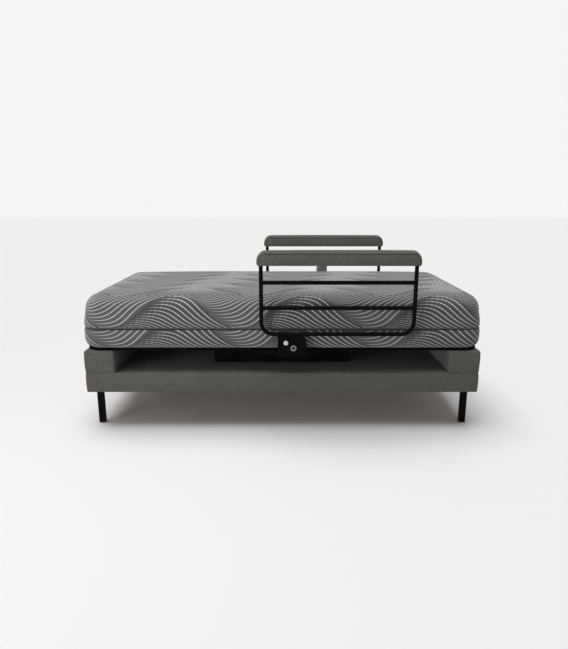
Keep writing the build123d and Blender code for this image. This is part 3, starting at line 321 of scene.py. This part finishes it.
def finish_coat(name, dark, light, rough, size, depth, metallic=0.0, shine=0.5):
    """A painted, plated or moulded surface: two tones, rough where dark and light, grain size and depth."""
    material, tree, shader = new_material(name)
    grain = add_node(tree, "ShaderNodeGroup", node_tree=coat_grain)
    grain.inputs["Size"].default_value = size
    tone = grain.outputs["Tone"]
    tree.links.new(tint(tree, tone, dark, light), shader.inputs["Base Color"])
    tree.links.new(ramp(tree, tone, 0.0, 1.0, rough[0], rough[1]), shader.inputs["Roughness"])
    tree.links.new(bump(tree, grain.outputs["Height"], depth), shader.inputs["Normal"])
    shader.inputs["Metallic"].default_value = metallic
    shader.inputs["Specular IOR Level"].default_value = shine
    return material


black_steel = finish_coat(
    "black_powder_coat", BLACK_DARK, BLACK_LIGHT, (0.42, 0.56), 900.0, 0.00008, shine=0.04,
)
zinc_steel = finish_coat(
    "zinc_plate", ZINC_DARK, ZINC_LIGHT, (0.28, 0.46), 500.0, 0.00005, metallic=1.0,
)
black_plastic = finish_coat(
    "black_plastic", MOULDED_DARK, MOULDED_LIGHT, (0.5, 0.62), 1400.0, 0.00012, shine=0.15,
)

for end in ("foot", "head"):
    for side in ("near", "far"):
        dress(black_steel, "black_steel", f"leg_{end}_{side}")
dress(black_plastic, "black_plastic", "leg_glides")
dress(zinc_steel, "zinc_steel", "base_fasteners")

# Swivel: a fixed plate on the base, a toothed ball race, and a plate above that turns with the deck.
# Painted plates, bright race and pinion, and a black sheet-steel skirt round them all.
dress(black_steel, "black_steel", "swivel_base_plate", "turntable_plate", "swivel_skirt", "skirt_bolts")
dress(zinc_steel, "zinc_steel", "slewing_ring_outer", "slewing_ring_inner", "slewing_balls")
dress(zinc_steel, "zinc_steel", "swivel_pinion")

# Drives on the turntable: the swivel motor, two linear actuators and their control box.
# Moulded black housings, with bright rods.
dress(black_plastic, "black_plastic", "swivel_motor", "control_box", "back_actuator", "leg_actuator")
dress(zinc_steel, "zinc_steel", "back_actuator_rod", "leg_actuator_rod")

# Deck: four welded frames that hinge on pins, each with a board on top.
# The boards carry the mattress; their near-black colour is painted shade for the dark under its edge, so
# they show as a thin dark edge under it.
DECK_SHADE_DARK = (0.0015, 0.0014, 0.0013)
DECK_SHADE_LIGHT = (0.0040, 0.0037, 0.0034)
DECK_GRAIN = (5.0, 80.0, 80.0)

shaded_deck_board = wood("deck_board", DECK_SHADE_DARK, DECK_SHADE_LIGHT, 0.75, DECK_GRAIN, shine=0.04)
dress(black_steel, "black_steel", "seat_frame", "back_frame", "thigh_frame", "calf_frame")
dress(zinc_steel, "zinc_steel", "hinge_pins", "knee_pins")
dress(shaded_deck_board, "deck_board", "seat_board", "back_board", "thigh_board", "calf_board")

# Mattress: foam in a stretch-knit cover, with a sewn seam round its sides and softly rounded edges.
# The knit is mid grey with paler raised lines in rising and falling bundles, a common wave ticking.
# It is one mattress in three pieces that meet where the deck keeps them together as it folds.
KNIT_SEAM = (0.022, 0.022, 0.021)
KNIT_DEEP = (0.070, 0.068, 0.065)
KNIT_GROUND = (0.126, 0.123, 0.118)
KNIT_LINE = (0.72, 0.71, 0.69)
CORNER = 0.095
TOP_EDGE = 0.080
BOTTOM_EDGE = 0.032
CROWN = 0.009
CROWN_POWER = 6
TOP_RISE = 0.014
SEAM_Z = 0.532
SEAM_DEPTH = 0.0060
SEAM_WIDTH = 0.0050
FULLEST_Z = 0.560
FULLEST = 0.0010
LEAN = 0.010
LEAN_POWER = 1.2
LOW_FULLEST_Z = 0.4965
LOW_FULLEST = 0.0035
LOW_REACH = 0.045
UNEVEN = 0.0012
UNEVEN_RATE = 5.0
LONG_CUTS = 92
CROSS_CUTS = 20
SEAM_CUTS = (-0.014, -0.009, -0.006, -0.003, 0.0, 0.003, 0.006, 0.009, 0.014, 0.022)
BORDER_CUTS = (0.484, LOW_FULLEST_Z, 0.508, 0.562, 0.570, 0.579, 0.590, 0.600)
HIP_X = 0.0
KNEE_X = -0.325

bed_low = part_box("mattress_calf")[0]
bed_high = Vector((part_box("mattress_back")[1].x, bed_low.y * -1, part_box("mattress_seat")[1].z))
half_long = bed_high.x
half_wide = bed_high.y
shoulder = bed_high.z - CROWN
rounding = shoulder - TOP_EDGE
straight = half_long - CORNER
across = half_wide - CORNER
top_width = 2 * (half_wide - TOP_EDGE)
border_end = straight + CORNER * pi + 2 * across


def inset(x, y):
    """How far a point lies inside the mattress's outline, seen from above."""
    over_x = max(abs(x) - straight, 0.0)
    over_y = max(abs(y) - across, 0.0)
    if over_x or over_y:
        return CORNER - hypot(over_x, over_y)
    return min(half_long - abs(x), half_wide - abs(y))


def drop(co):
    """How far the cover runs from where the top edge starts, down to this point."""
    if co.z <= rounding:
        return TOP_EDGE * pi / 2 + rounding - co.z
    return TOP_EDGE * atan2(max(TOP_EDGE - inset(co.x, co.y), 0.0), co.z - rounding)


def way_round(x, y):
    """The distance round the border, from the middle of the near side to a far corner."""
    over_x = abs(x) - straight
    if over_x <= 0.0 and y < 0.0:
        return x
    sign = 1.0 if x > 0 else -1.0
    if y < -across:
        turned = CORNER * atan2(over_x, -across - y)
    elif y <= across:
        turned = CORNER * pi / 2 + across + y
    else:
        turned = CORNER * (pi / 2 + atan2(y - across, over_x)) + 2 * across
    return sign * (straight + turned)


def lay_cover(form):
    """Cover coordinates in metres: along the bed, and from the near top edge over the top or down."""
    layer = form.loops.layers.uv.new("cover")
    for face in form.faces:
        centre = face.calc_center_median()
        on_top = centre.z > shoulder - 1e-4
        on_far = centre.y > 0.0 and abs(centre.x) < straight
        for loop in face.loops:
            co = loop.vert.co
            if on_top:
                place_uv = (co.x, co.y + half_wide - TOP_EDGE)
            elif on_far:
                place_uv = (co.x, top_width + drop(co))
            else:
                place_uv = (way_round(co.x, co.y), -drop(co))
            loop[layer].uv = place_uv


def border(z):
    """How far the border stands out from its outline at a height, drawn in at the seam."""
    lean = min(max(z - FULLEST_Z, 0.0) / (rounding - FULLEST_Z), 1.0)
    away = (z - SEAM_Z) / SEAM_WIDTH
    pinch = SEAM_DEPTH * exp(-away * away)
    if z > SEAM_Z:
        return FULLEST - LEAN * lean ** LEAN_POWER - pinch
    low_away = (z - LOW_FULLEST_Z) / LOW_REACH
    return LOW_FULLEST * max(1.0 - low_away * low_away, 0.0) - pinch


def mattress_form():
    """The whole mattress, cut into short lengths."""
    form = block(bed_low, (half_long, half_wide, shoulder))
    soften(form, upright_edges(form), CORNER, 12)
    soften(form, level_edges(form, shoulder), TOP_EDGE, 12)
    soften(form, level_edges(form, bed_low.z), BOTTOM_EDGE, 6)
    slice_at(form, 0, steps(-straight, straight, LONG_CUTS) + [KNEE_X])
    slice_at(form, 1, steps(-across, across, CROSS_CUTS))
    slice_at(form, 2, [SEAM_Z + away for away in SEAM_CUTS])
    slice_at(form, 2, BORDER_CUTS)
    lay_cover(form)
    form.normal_update()
    shaped = [(vert, vert.co.copy(), vert.normal.copy()) for vert in form.verts]
    for vert, co, normal in shaped:
        level = Vector((normal.x, normal.y, 0.0))
        soft = UNEVEN * noise.noise(co * UNEVEN_RATE)
        flat = (1.0 - (co.y / half_wide) ** CROWN_POWER) * (1.0 - (co.x / half_long) ** CROWN_POWER)
        if level.length > 1e-6:
            vert.co += level.normalized() * (1.0 - normal.z ** 2) * (border(co.z) + soft)
        vert.co.z += (TOP_RISE * flat + soft) * max(normal.z, 0.0)
    return form


def cut_piece(form, low_x, high_x):
    """A length of the mattress between two cuts, with the cut ends closed."""
    part = form.copy()
    for at, way in ((low_x, -1.0), (high_x, 1.0)):
        if at is None:
            continue
        whole = part.verts[:] + part.edges[:] + part.faces[:]
        cut = bmesh.ops.bisect_plane(
            part, geom=whole, plane_co=(at, 0, 0), plane_no=(way, 0, 0), dist=1e-5, clear_outer=True,
        )
        rim = [e for e in cut["geom_cut"] if isinstance(e, bmesh.types.BMEdge)]
        bmesh.ops.edgeloop_fill(part, edges=rim)
        for edge in rim:
            edge.smooth = False
    bmesh.ops.recalc_face_normals(part, faces=part.faces)
    return part


# Ticking, in metres on the cover: bundles of lines rise and fall in turn, with a new row below the seam.
PERIOD = 0.660
ROW = 0.168
ROW_START = -0.200
ROW_SHIFT = 0.057
LOW_ROW_START = -0.307
LOW_SHIFT = 0.0435
WAVE_START = -0.8735
HALF_SPAN = 0.1615
CELL = 0.336
SWAY = 0.0918
SWAY_ENDS = 0.0697
SWAY_POWER = 7.0
LINE_STEP = 0.025
LINE_AT = 0.2
LINE_CORE = 0.055
LINE_EDGE = 0.125
FADE_FROM = -0.035
FADE_TO = 0.015
SLOPE = radians(39.0)
TURN_RUN = 0.12
TURN_LIFT = 0.0459
TURN_POWER = 3.0
FAN_OPEN = 0.0875
FAN_BEHIND = 1.1475
RISE_STRETCH = 0.080
FALL_STRETCH = 0.050
STRETCH_POWER = 5.5
DASH_RATE = 370.0
DASH_SHIFT = 2.4
SEAM_LINE = 0.002
SEAM_CLEAR = 0.005
KNIT_FINE = 340.0
KNIT_DEPTH = 0.0010

ticking, tree, shader = new_material("wave_ticking")


def between(tree, low, high, factor):
    """A value between two, by a factor."""
    return calc(tree, "MULTIPLY_ADD", calc(tree, "SUBTRACT", high, low), factor, low)


cover = add_node(tree, "ShaderNodeUVMap", uv_map="cover").outputs["UV"]
cover_axes = add_node(tree, "ShaderNodeSeparateXYZ", {"Vector": cover}).outputs
along = cover_axes["X"]
over = cover_axes["Y"]
seam_at = TOP_EDGE * pi / 2 + rounding - SEAM_Z
below = calc(tree, "LESS_THAN", over, -seam_at)
row_low = between(tree, ROW_START, LOW_ROW_START, below)
row = calc(tree, "DIVIDE", calc(tree, "SUBTRACT", over, row_low), ROW)
row_number = calc(tree, "FLOOR", row)
share = calc(tree, "SUBTRACT", row, row_number)
shift = calc(tree, "MULTIPLY_ADD", row_number, ROW_SHIFT, calc(tree, "MULTIPLY", below, LOW_SHIFT))
run = calc(tree, "SUBTRACT", calc(tree, "SUBTRACT", along, WAVE_START), shift)
run = calc(tree, "WRAP", run, PERIOD, 0.0)
turn = calc(tree, "MULTIPLY_ADD", share, 2.0, -1.0)
ends = calc(tree, "MULTIPLY", calc(tree, "POWER", turn, SWAY_POWER), SWAY_ENDS)
sway = calc(tree, "MULTIPLY_ADD", turn, SWAY, ends)
rise_edge = calc(tree, "ADD", sway, HALF_SPAN)
fall_edge = calc(tree, "SUBTRACT", CELL + HALF_SPAN, sway)
rising = calc(tree, "LESS_THAN", run, rise_edge)
before_next = calc(tree, "LESS_THAN", run, fall_edge)
falling = calc(tree, "MAXIMUM", calc(tree, "SUBTRACT", before_next, rising), 0.0)
rise_run = calc(tree, "MULTIPLY_ADD", calc(tree, "SUBTRACT", 1.0, rising), -PERIOD, run)
cell_run = between(tree, rise_run, calc(tree, "SUBTRACT", run, CELL), falling)
cell_share = between(tree, share, calc(tree, "SUBTRACT", 1.0, share), falling)
stretch = between(tree, RISE_STRETCH, FALL_STRETCH, falling)
cell_up = calc(tree, "MULTIPLY", calc(tree, "POWER", cell_share, STRETCH_POWER), stretch)
cell_up = calc(tree, "MULTIPLY_ADD", cell_share, ROW, cell_up)
up_forward = calc(tree, "MULTIPLY", cell_up, cos(SLOPE))
up_outward = calc(tree, "MULTIPLY", cell_up, sin(SLOPE))
forward = calc(tree, "MULTIPLY_ADD", cell_run, sin(SLOPE), up_forward)
outward = calc(tree, "MULTIPLY_ADD", cell_run, -cos(SLOPE), up_outward)
turning = {"Value": forward, "From Max": TURN_RUN}
turned = add_node(tree, "ShaderNodeMapRange", turning).outputs["Result"]
left_over = calc(tree, "SUBTRACT", 1.0, turned)
eased = calc(tree, "SUBTRACT", 1.0, calc(tree, "POWER", left_over, TURN_POWER))
behind = calc(tree, "MULTIPLY", calc(tree, "MINIMUM", forward, 0.0), FAN_BEHIND)
fan = calc(tree, "ADD", calc(tree, "MULTIPLY_ADD", forward, FAN_OPEN, outward), behind)
fan = calc(tree, "MULTIPLY_ADD", eased, TURN_LIFT, fan)
thread = calc(tree, "ADD", calc(tree, "DIVIDE", fan, LINE_STEP), LINE_AT)
off_line = calc(tree, "ABSOLUTE", calc(tree, "SUBTRACT", calc(tree, "FRACT", thread), 0.5))
on_top = calc(tree, "MINIMUM", over, calc(tree, "SUBTRACT", top_width, over))
# Painted light: lines in the falling bundles are drawn a little wider on the sides and much wider over the
# top, so the top reads lighter, as if lit more.
top_light_widen = ramp(tree, on_top, 0.0, 0.08, 0.018, 0.16)
off_line = calc(tree, "SUBTRACT", off_line, calc(tree, "MULTIPLY", falling, top_light_widen))
line = ramp(tree, off_line, LINE_CORE, LINE_EDGE, 1.0, 0.0)
line = calc(tree, "MULTIPLY", line, ramp(tree, forward, FADE_FROM, FADE_TO))
dash_along = calc(tree, "MULTIPLY", forward, DASH_RATE)
dash_run = calc(tree, "MULTIPLY_ADD", calc(tree, "FLOOR", thread), DASH_SHIFT, dash_along)
dash = ramp(tree, calc(tree, "SINE", dash_run), -0.7, 0.4, 0.55, 1.25)
line = calc(tree, "MULTIPLY", line, between(tree, 1.0, dash, falling))
drawn = calc(tree, "MAXIMUM", below, calc(tree, "GREATER_THAN", over, ROW_START))
line = calc(tree, "MULTIPLY", line, drawn)
near_seam = calc(tree, "ABSOLUTE", calc(tree, "ADD", over, seam_at))
far_seam = calc(tree, "ABSOLUTE", calc(tree, "SUBTRACT", over, top_width + seam_at))
border_join = calc(tree, "SUBTRACT", border_end, calc(tree, "ABSOLUTE", along))
from_seam = calc(tree, "MINIMUM", calc(tree, "MINIMUM", near_seam, far_seam), border_join)
clear_of_seam = ramp(tree, from_seam, SEAM_LINE, SEAM_CLEAR)
knit_grain = {"Vector": cover, "Scale": KNIT_FINE, "Detail": 3.0}
stitch = add_node(tree, "ShaderNodeTexNoise", knit_grain).outputs["Fac"]
line = calc(tree, "MULTIPLY", line, ramp(tree, stitch, 0.25, 0.55, 0.75, 1.0))
ground_tone = ramp(tree, stitch, 0.3, 0.7, 0.78, 1.0)
ground_tone = calc(tree, "MULTIPLY", ground_tone, between(tree, 1.0, 0.25, falling))
# Painted light: over the top the ground is raised at least half way to its lighter tone, so the top is
# lighter than the sides.
ground_tone = calc(tree, "MAXIMUM", ground_tone, ramp(tree, on_top, 0.0, 0.10, 0.0, 0.5))
ground = tint(tree, ground_tone, KNIT_DEEP, KNIT_GROUND)
knit = add_node(tree, "ShaderNodeMix", {"Factor": line}, data_type="RGBA")
tree.links.new(ground, knit.inputs["A"])
knit.inputs["B"].default_value = (*KNIT_LINE, 1.0)
seamed = add_node(tree, "ShaderNodeMix", {"Factor": clear_of_seam}, data_type="RGBA")
seamed.inputs["A"].default_value = (*KNIT_SEAM, 1.0)
tree.links.new(knit.outputs["Result"], seamed.inputs["B"])
tree.links.new(seamed.outputs["Result"], shader.inputs["Base Color"])
tree.links.new(ramp(tree, line, 0.0, 1.0, 0.9, 0.75), shader.inputs["Roughness"])
relief = calc(tree, "MULTIPLY_ADD", stitch, 0.35, line)
tree.links.new(bump(tree, relief, KNIT_DEPTH), shader.inputs["Normal"])
shader.inputs["Specular IOR Level"].default_value = 0.3
shader.inputs["Sheen Weight"].default_value = 0.45
shader.inputs["Sheen Roughness"].default_value = 0.45

whole_bed = mattress_form()
mattress_parts = (
    ("mattress_head_length", HIP_X, None, "turntable", "back", 0.025, 0.435,
     ("mattress_back", "mattress_hip_fold", "mattress_seat")),
    ("mattress_thigh_length", KNEE_X, HIP_X, "turntable", "thigh", -0.02, -0.28,
     ("mattress_thigh_fold",)),
    ("mattress_foot_length", None, KNEE_X, "thigh", "calf", -0.37, -0.63,
     ("mattress_thigh", "mattress_calf")),
)
for name, low_x, high_x, body, next_body, bend_start, bend_end, nodes in mattress_parts:
    piece = make_piece(name, cut_piece(whole_bed, low_x, high_x), ticking)
    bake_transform(piece)
    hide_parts(*nodes)
whole_bed.free()

# Side rails: bent steel tube with two coped crossbars and a pivot plate, powder-coated black.
# Each turns on a bolt through a bracket from the seat frame when its white button is pushed.
# The bolts have a bright ring, and the black disc in the middle of each is painted shade, standing in for
# the shadow in the socket.
BUTTON_DARK = (0.70, 0.70, 0.68)
BUTTON_LIGHT = (0.80, 0.80, 0.78)
BOLT_DARK = (0.12, 0.12, 0.12)
BOLT_LIGHT = (0.24, 0.24, 0.24)
# The radius and soft edge of the painted socket shade in the middle of the bolts.
SOCKET_SHADE_RADIUS = 0.0062
SOCKET_SHADE_EDGE = 0.0006

white_plastic = finish_coat("white_plastic", BUTTON_DARK, BUTTON_LIGHT, (0.3, 0.42), 900.0, 0.00005)
satin_bolt = finish_coat(
    "satin_bolt", BOLT_DARK, BOLT_LIGHT, (0.3, 0.42), 700.0, 0.00005, metallic=1.0,
)
for side in ("near", "far"):
    dress(black_steel, "black_steel", f"{side}_rail_frame", f"{side}_rail_crossbars")
    dress(black_steel, "black_steel", f"{side}_rail_bracket")
    dress(white_plastic, "white_plastic", f"{side}_release_button")
    # The armrest boards take the same near-black colour, painted shade under the pads.
    dress(shaded_deck_board, "deck_board", f"{side}_armrest_board")
# Painted shade: within a small radius of the bolts' axis the satin metal turns black, in place of the
# shadow in the socket recess.
bolts_low, bolts_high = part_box("rail_pivot_bolts")
bolt_axis = (bolts_low + bolts_high) / 2
tree = satin_bolt.node_tree
bolt_face = tree.nodes["Principled BSDF"].inputs["Base Color"]
bolt_metal = bolt_face.links[0].from_socket
bolt_place = add_node(tree, "ShaderNodeSeparateXYZ", {"Vector": place(tree)}).outputs
off_x = calc(tree, "SUBTRACT", bolt_place["X"], bolt_axis.x)
off_z = calc(tree, "SUBTRACT", bolt_place["Z"], bolt_axis.z)
squares = calc(tree, "MULTIPLY_ADD", off_x, off_x, calc(tree, "MULTIPLY", off_z, off_z))
in_ring = ramp(tree, calc(tree, "SQRT", squares), SOCKET_SHADE_RADIUS, SOCKET_SHADE_RADIUS + SOCKET_SHADE_EDGE)
socket_shaded = add_node(tree, "ShaderNodeMix", {"Factor": in_ring}, data_type="RGBA")
socket_shaded.inputs["A"].default_value = (*BLACK_DARK, 1.0)
tree.links.new(bolt_metal, socket_shaded.inputs["B"])
tree.links.new(socket_shaded.outputs["Result"], bolt_face)
dress(satin_bolt, "zinc_steel", "rail_pivot_bolts")

# Armrest pads: foam on a board, in a boxed cover of the same linen.
# Flat front and back panels are sewn to a band that goes over the top and round down the ends,
# and the cover is pulled under the board, so the band crowns up between the two seams.
PAD_ROUND = 0.038
PAD_CROWN = 0.016
PAD_END_CROWN = 0.009
PAD_FULL = 0.003
PAD_SEAM = 0.0030
PAD_GROOVE = 0.0035
PAD_HEM = 0.007
PAD_LIFT = 0.001
PAD_CAP = 0.004
PAD_CUTS = 80
PAD_CROSS_CUTS = 8
PAD_LOW_CUTS = (0.001, 0.009)
PAD_MERGE = 0.0004
STUFFING = 4.0
STUFFING_FRAMES = 20


def pad_form(low, high):
    """The pad before it is stuffed: a long box, rounded down at its ends, cut into short lengths."""
    top = high.z - PAD_CROWN - PAD_FULL
    bottom = low.z + PAD_LIFT
    start = low.x + PAD_END_CROWN + PAD_FULL
    stop = high.x - PAD_END_CROWN - PAD_FULL
    form = block((start, low.y + PAD_FULL, bottom), (stop, high.y - PAD_FULL, top))
    slice_at(form, 1, steps(low.y, high.y, PAD_CROSS_CUTS))
    crosswise = [e for e in level_edges(form, top) if abs(e.verts[0].co.x - e.verts[1].co.x) < 1e-5]
    ends = [e for e in crosswise if min(e.verts[0].co.x - start, stop - e.verts[0].co.x) < 1e-5]
    soften(form, ends, PAD_ROUND, 8)
    slice_at(form, 0, steps(start + PAD_ROUND, stop - PAD_ROUND, PAD_CUTS))
    slice_at(form, 2, [top - PAD_ROUND - under for under in PAD_LOW_CUTS])
    return form


def panel_seams(form):
    """The edges where the front and back panels meet the band."""
    found = []
    for edge in form.edges:
        facing = sorted(abs(face.normal.y) for face in edge.link_faces)
        lowest = min(face.normal.z for face in edge.link_faces)
        if facing[0] < 0.3 and facing[1] > 0.9 and lowest > -0.9:
            found.append(edge)
    return found


def stuff(piece, pinned, cap):
    """Puff a pad out with cloth under pressure between its seams, with no point far from its start."""
    bpy.context.view_layer.objects.active = piece
    sewn_edge = piece.vertex_groups.new(name="sewn_edge")
    sewn_edge.add(pinned, 1.0, "REPLACE")
    before = [vert.co.copy() for vert in piece.data.vertices]
    cloth = piece.modifiers.new("stuffing", "CLOTH")
    cloth.settings.vertex_group_mass = sewn_edge.name
    cloth.settings.use_pressure = True
    cloth.settings.uniform_pressure_force = STUFFING
    cloth.settings.effector_weights.gravity = 0.0
    for number in range(STUFFING_FRAMES):
        scene.frame_set(number + 1)
    bpy.ops.object.modifier_apply(modifier=cloth.name)
    scene.frame_set(1)
    for vert, old in zip(piece.data.vertices, before):
        move = vert.co - old
        if move.length > cap:
            vert.co = old + move.normalized() * cap


for side in ("near", "far"):
    low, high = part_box(f"{side}_armrest_pad")
    middle = (low + high) / 2
    half = (high - low) / 2
    form = pad_form(low, high)
    soften(form, panel_seams(form), PAD_SEAM, 2)
    hems = [e for e in level_edges(form, low.z + PAD_LIFT) if e.calc_face_angle(0.0) > 1.0]
    soften(form, hems, PAD_HEM, 2)
    bmesh.ops.remove_doubles(form, verts=form.verts, dist=PAD_MERGE)
    form.normal_update()
    form.verts.index_update()
    seam_shade_mark = form.verts.layers.float.new("sewn")
    pinned = []
    shaped = [(vert, vert.normal.copy()) for vert in form.verts]
    for vert, normal in shaped:
        share = (vert.co.y - middle.y) / (half.y - PAD_FULL)
        from_panel = (1.0 - abs(share)) * (half.y - PAD_FULL)
        above = vert.co.z - low.z - PAD_LIFT
        in_seam = 1e-5 < from_panel < PAD_SEAM * 0.8 and above > PAD_HEM
        if in_seam or above < PAD_HEM:
            pinned.append(vert.index)
        # The seam is sunk in as a real groove, and marked so that the linen paints shade along it.
        if in_seam:
            vert[seam_shade_mark] = 1.0
            vert.co -= normal * PAD_GROOVE
        elif normal.z > -0.5:
            rise = max(1.0 - share * share, 0.0)
            vert.co.z += PAD_CROWN * rise * max(normal.z, 0.0)
            vert.co.x += PAD_END_CROWN * rise * normal.x
    piece = make_piece(f"{side}_armrest_cushion", form, linen)
    stuff(piece, pinned, PAD_CAP)
    rounded = piece.modifiers.new("smooth", "SUBSURF")
    rounded.levels = 1
    rounded.render_levels = 1
    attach(piece, f"{side}_rail")
    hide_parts(f"{side}_armrest_pad")

# Hand control: a moulded grey case that hooks over the far rail.
# Three rubber rocker keys stand in its face.
CASE_DARK = (0.30, 0.30, 0.30)
CASE_LIGHT = (0.42, 0.42, 0.42)
KEY_DARK = (0.20, 0.20, 0.21)
KEY_LIGHT = (0.27, 0.27, 0.28)

grey_plastic = finish_coat("grey_plastic", CASE_DARK, CASE_LIGHT, (0.45, 0.58), 1400.0, 0.0001)
key_rubber = finish_coat("key_rubber", KEY_DARK, KEY_LIGHT, (0.7, 0.82), 1800.0, 0.0001)
dress(grey_plastic, "grey_plastic", "handset_case")
dress(key_rubber, "key_rubber", "handset_back_key", "handset_legs_key", "handset_swivel_key")

# Studio: a pale floor, a broad soft light overhead and a low wide light from the front left.
# The camera stands at the near side, a little above the rails.
FLOOR_SEEN = (0.88, 0.88, 0.88)
FLOOR_BOUNCE = (0.42, 0.42, 0.42)
FLOOR_HALF = 30.0
SKY_SEEN = 0.92
SKY_LIGHT = 0.22


def in_view(tree):
    """One where the camera sees a thing straight, mirrored or through glass, and nought for other light."""
    paths = add_node(tree, "ShaderNodeLightPath").outputs
    reflected = calc(tree, "MAXIMUM", paths["Is Glossy Ray"], paths["Is Transmission Ray"])
    return calc(tree, "MAXIMUM", paths["Is Camera Ray"], reflected)


floor_paint, tree, shader = new_material("floor_paint")
tree.links.new(tint(tree, in_view(tree), FLOOR_BOUNCE, FLOOR_SEEN), shader.inputs["Base Color"])
shader.inputs["Roughness"].default_value = 0.9
shader.inputs["Specular IOR Level"].default_value = 0.1
ground_form = bmesh.new()
bmesh.ops.create_grid(ground_form, x_segments=1, y_segments=1, size=FLOOR_HALF)
floor = make_piece("floor", ground_form, floor_paint, smooth=False)

world = bpy.data.worlds.new("studio")
world.use_nodes = True
scene.world = world
tree = world.node_tree
backdrop = tree.nodes["Background"]
backdrop.inputs["Color"].default_value = (1.0, 1.0, 1.0, 1.0)
sky = ramp(tree, in_view(tree), 0.0, 1.0, SKY_LIGHT, SKY_SEEN)
tree.links.new(sky, backdrop.inputs["Strength"])


def hang_light(name, kind, at, look, power):
    """A lamp that looks at a point."""
    lamp = bpy.data.lights.new(name, kind)
    lamp.energy = power
    holder = bpy.data.objects.new(name, lamp)
    holder.location = at
    holder.rotation_euler = (Vector(look) - Vector(at)).to_track_quat("-Z", "Y").to_euler()
    holder.visible_camera = False
    scene.collection.objects.link(holder)
    return lamp


overhead = hang_light("overhead", "SUN", (-0.6, 0.1, 3.7), (0.0, 0.0, 0.0), 2.4)
overhead.angle = radians(50.0)
front_left = hang_light("front_left", "AREA", (-3.2, -3.4, 0.65), (0.0, 0.0, 0.9), 12.0)
front_left.shape = "RECTANGLE"
front_left.size = 1.8
front_left.size_y = 0.7
front_left.spread = radians(70.0)

FRAME_HIGH = 649.0
FOCAL_PX = 533.1
LOOK_DOWN = radians(13.438)
CAMERA_AT = (0.0097, -3.0731, 1.1775)

lens = bpy.data.cameras.new("camera")
lens.sensor_width = 36.0
lens.lens = lens.sensor_width * FOCAL_PX / FRAME_HIGH
camera = bpy.data.objects.new("camera", lens)
camera.location = CAMERA_AT
camera.rotation_euler = (pi / 2 - LOOK_DOWN, 0.0, 0.0)
scene.collection.objects.link(camera)
scene.camera = camera
scene.view_settings.view_transform = "Standard"
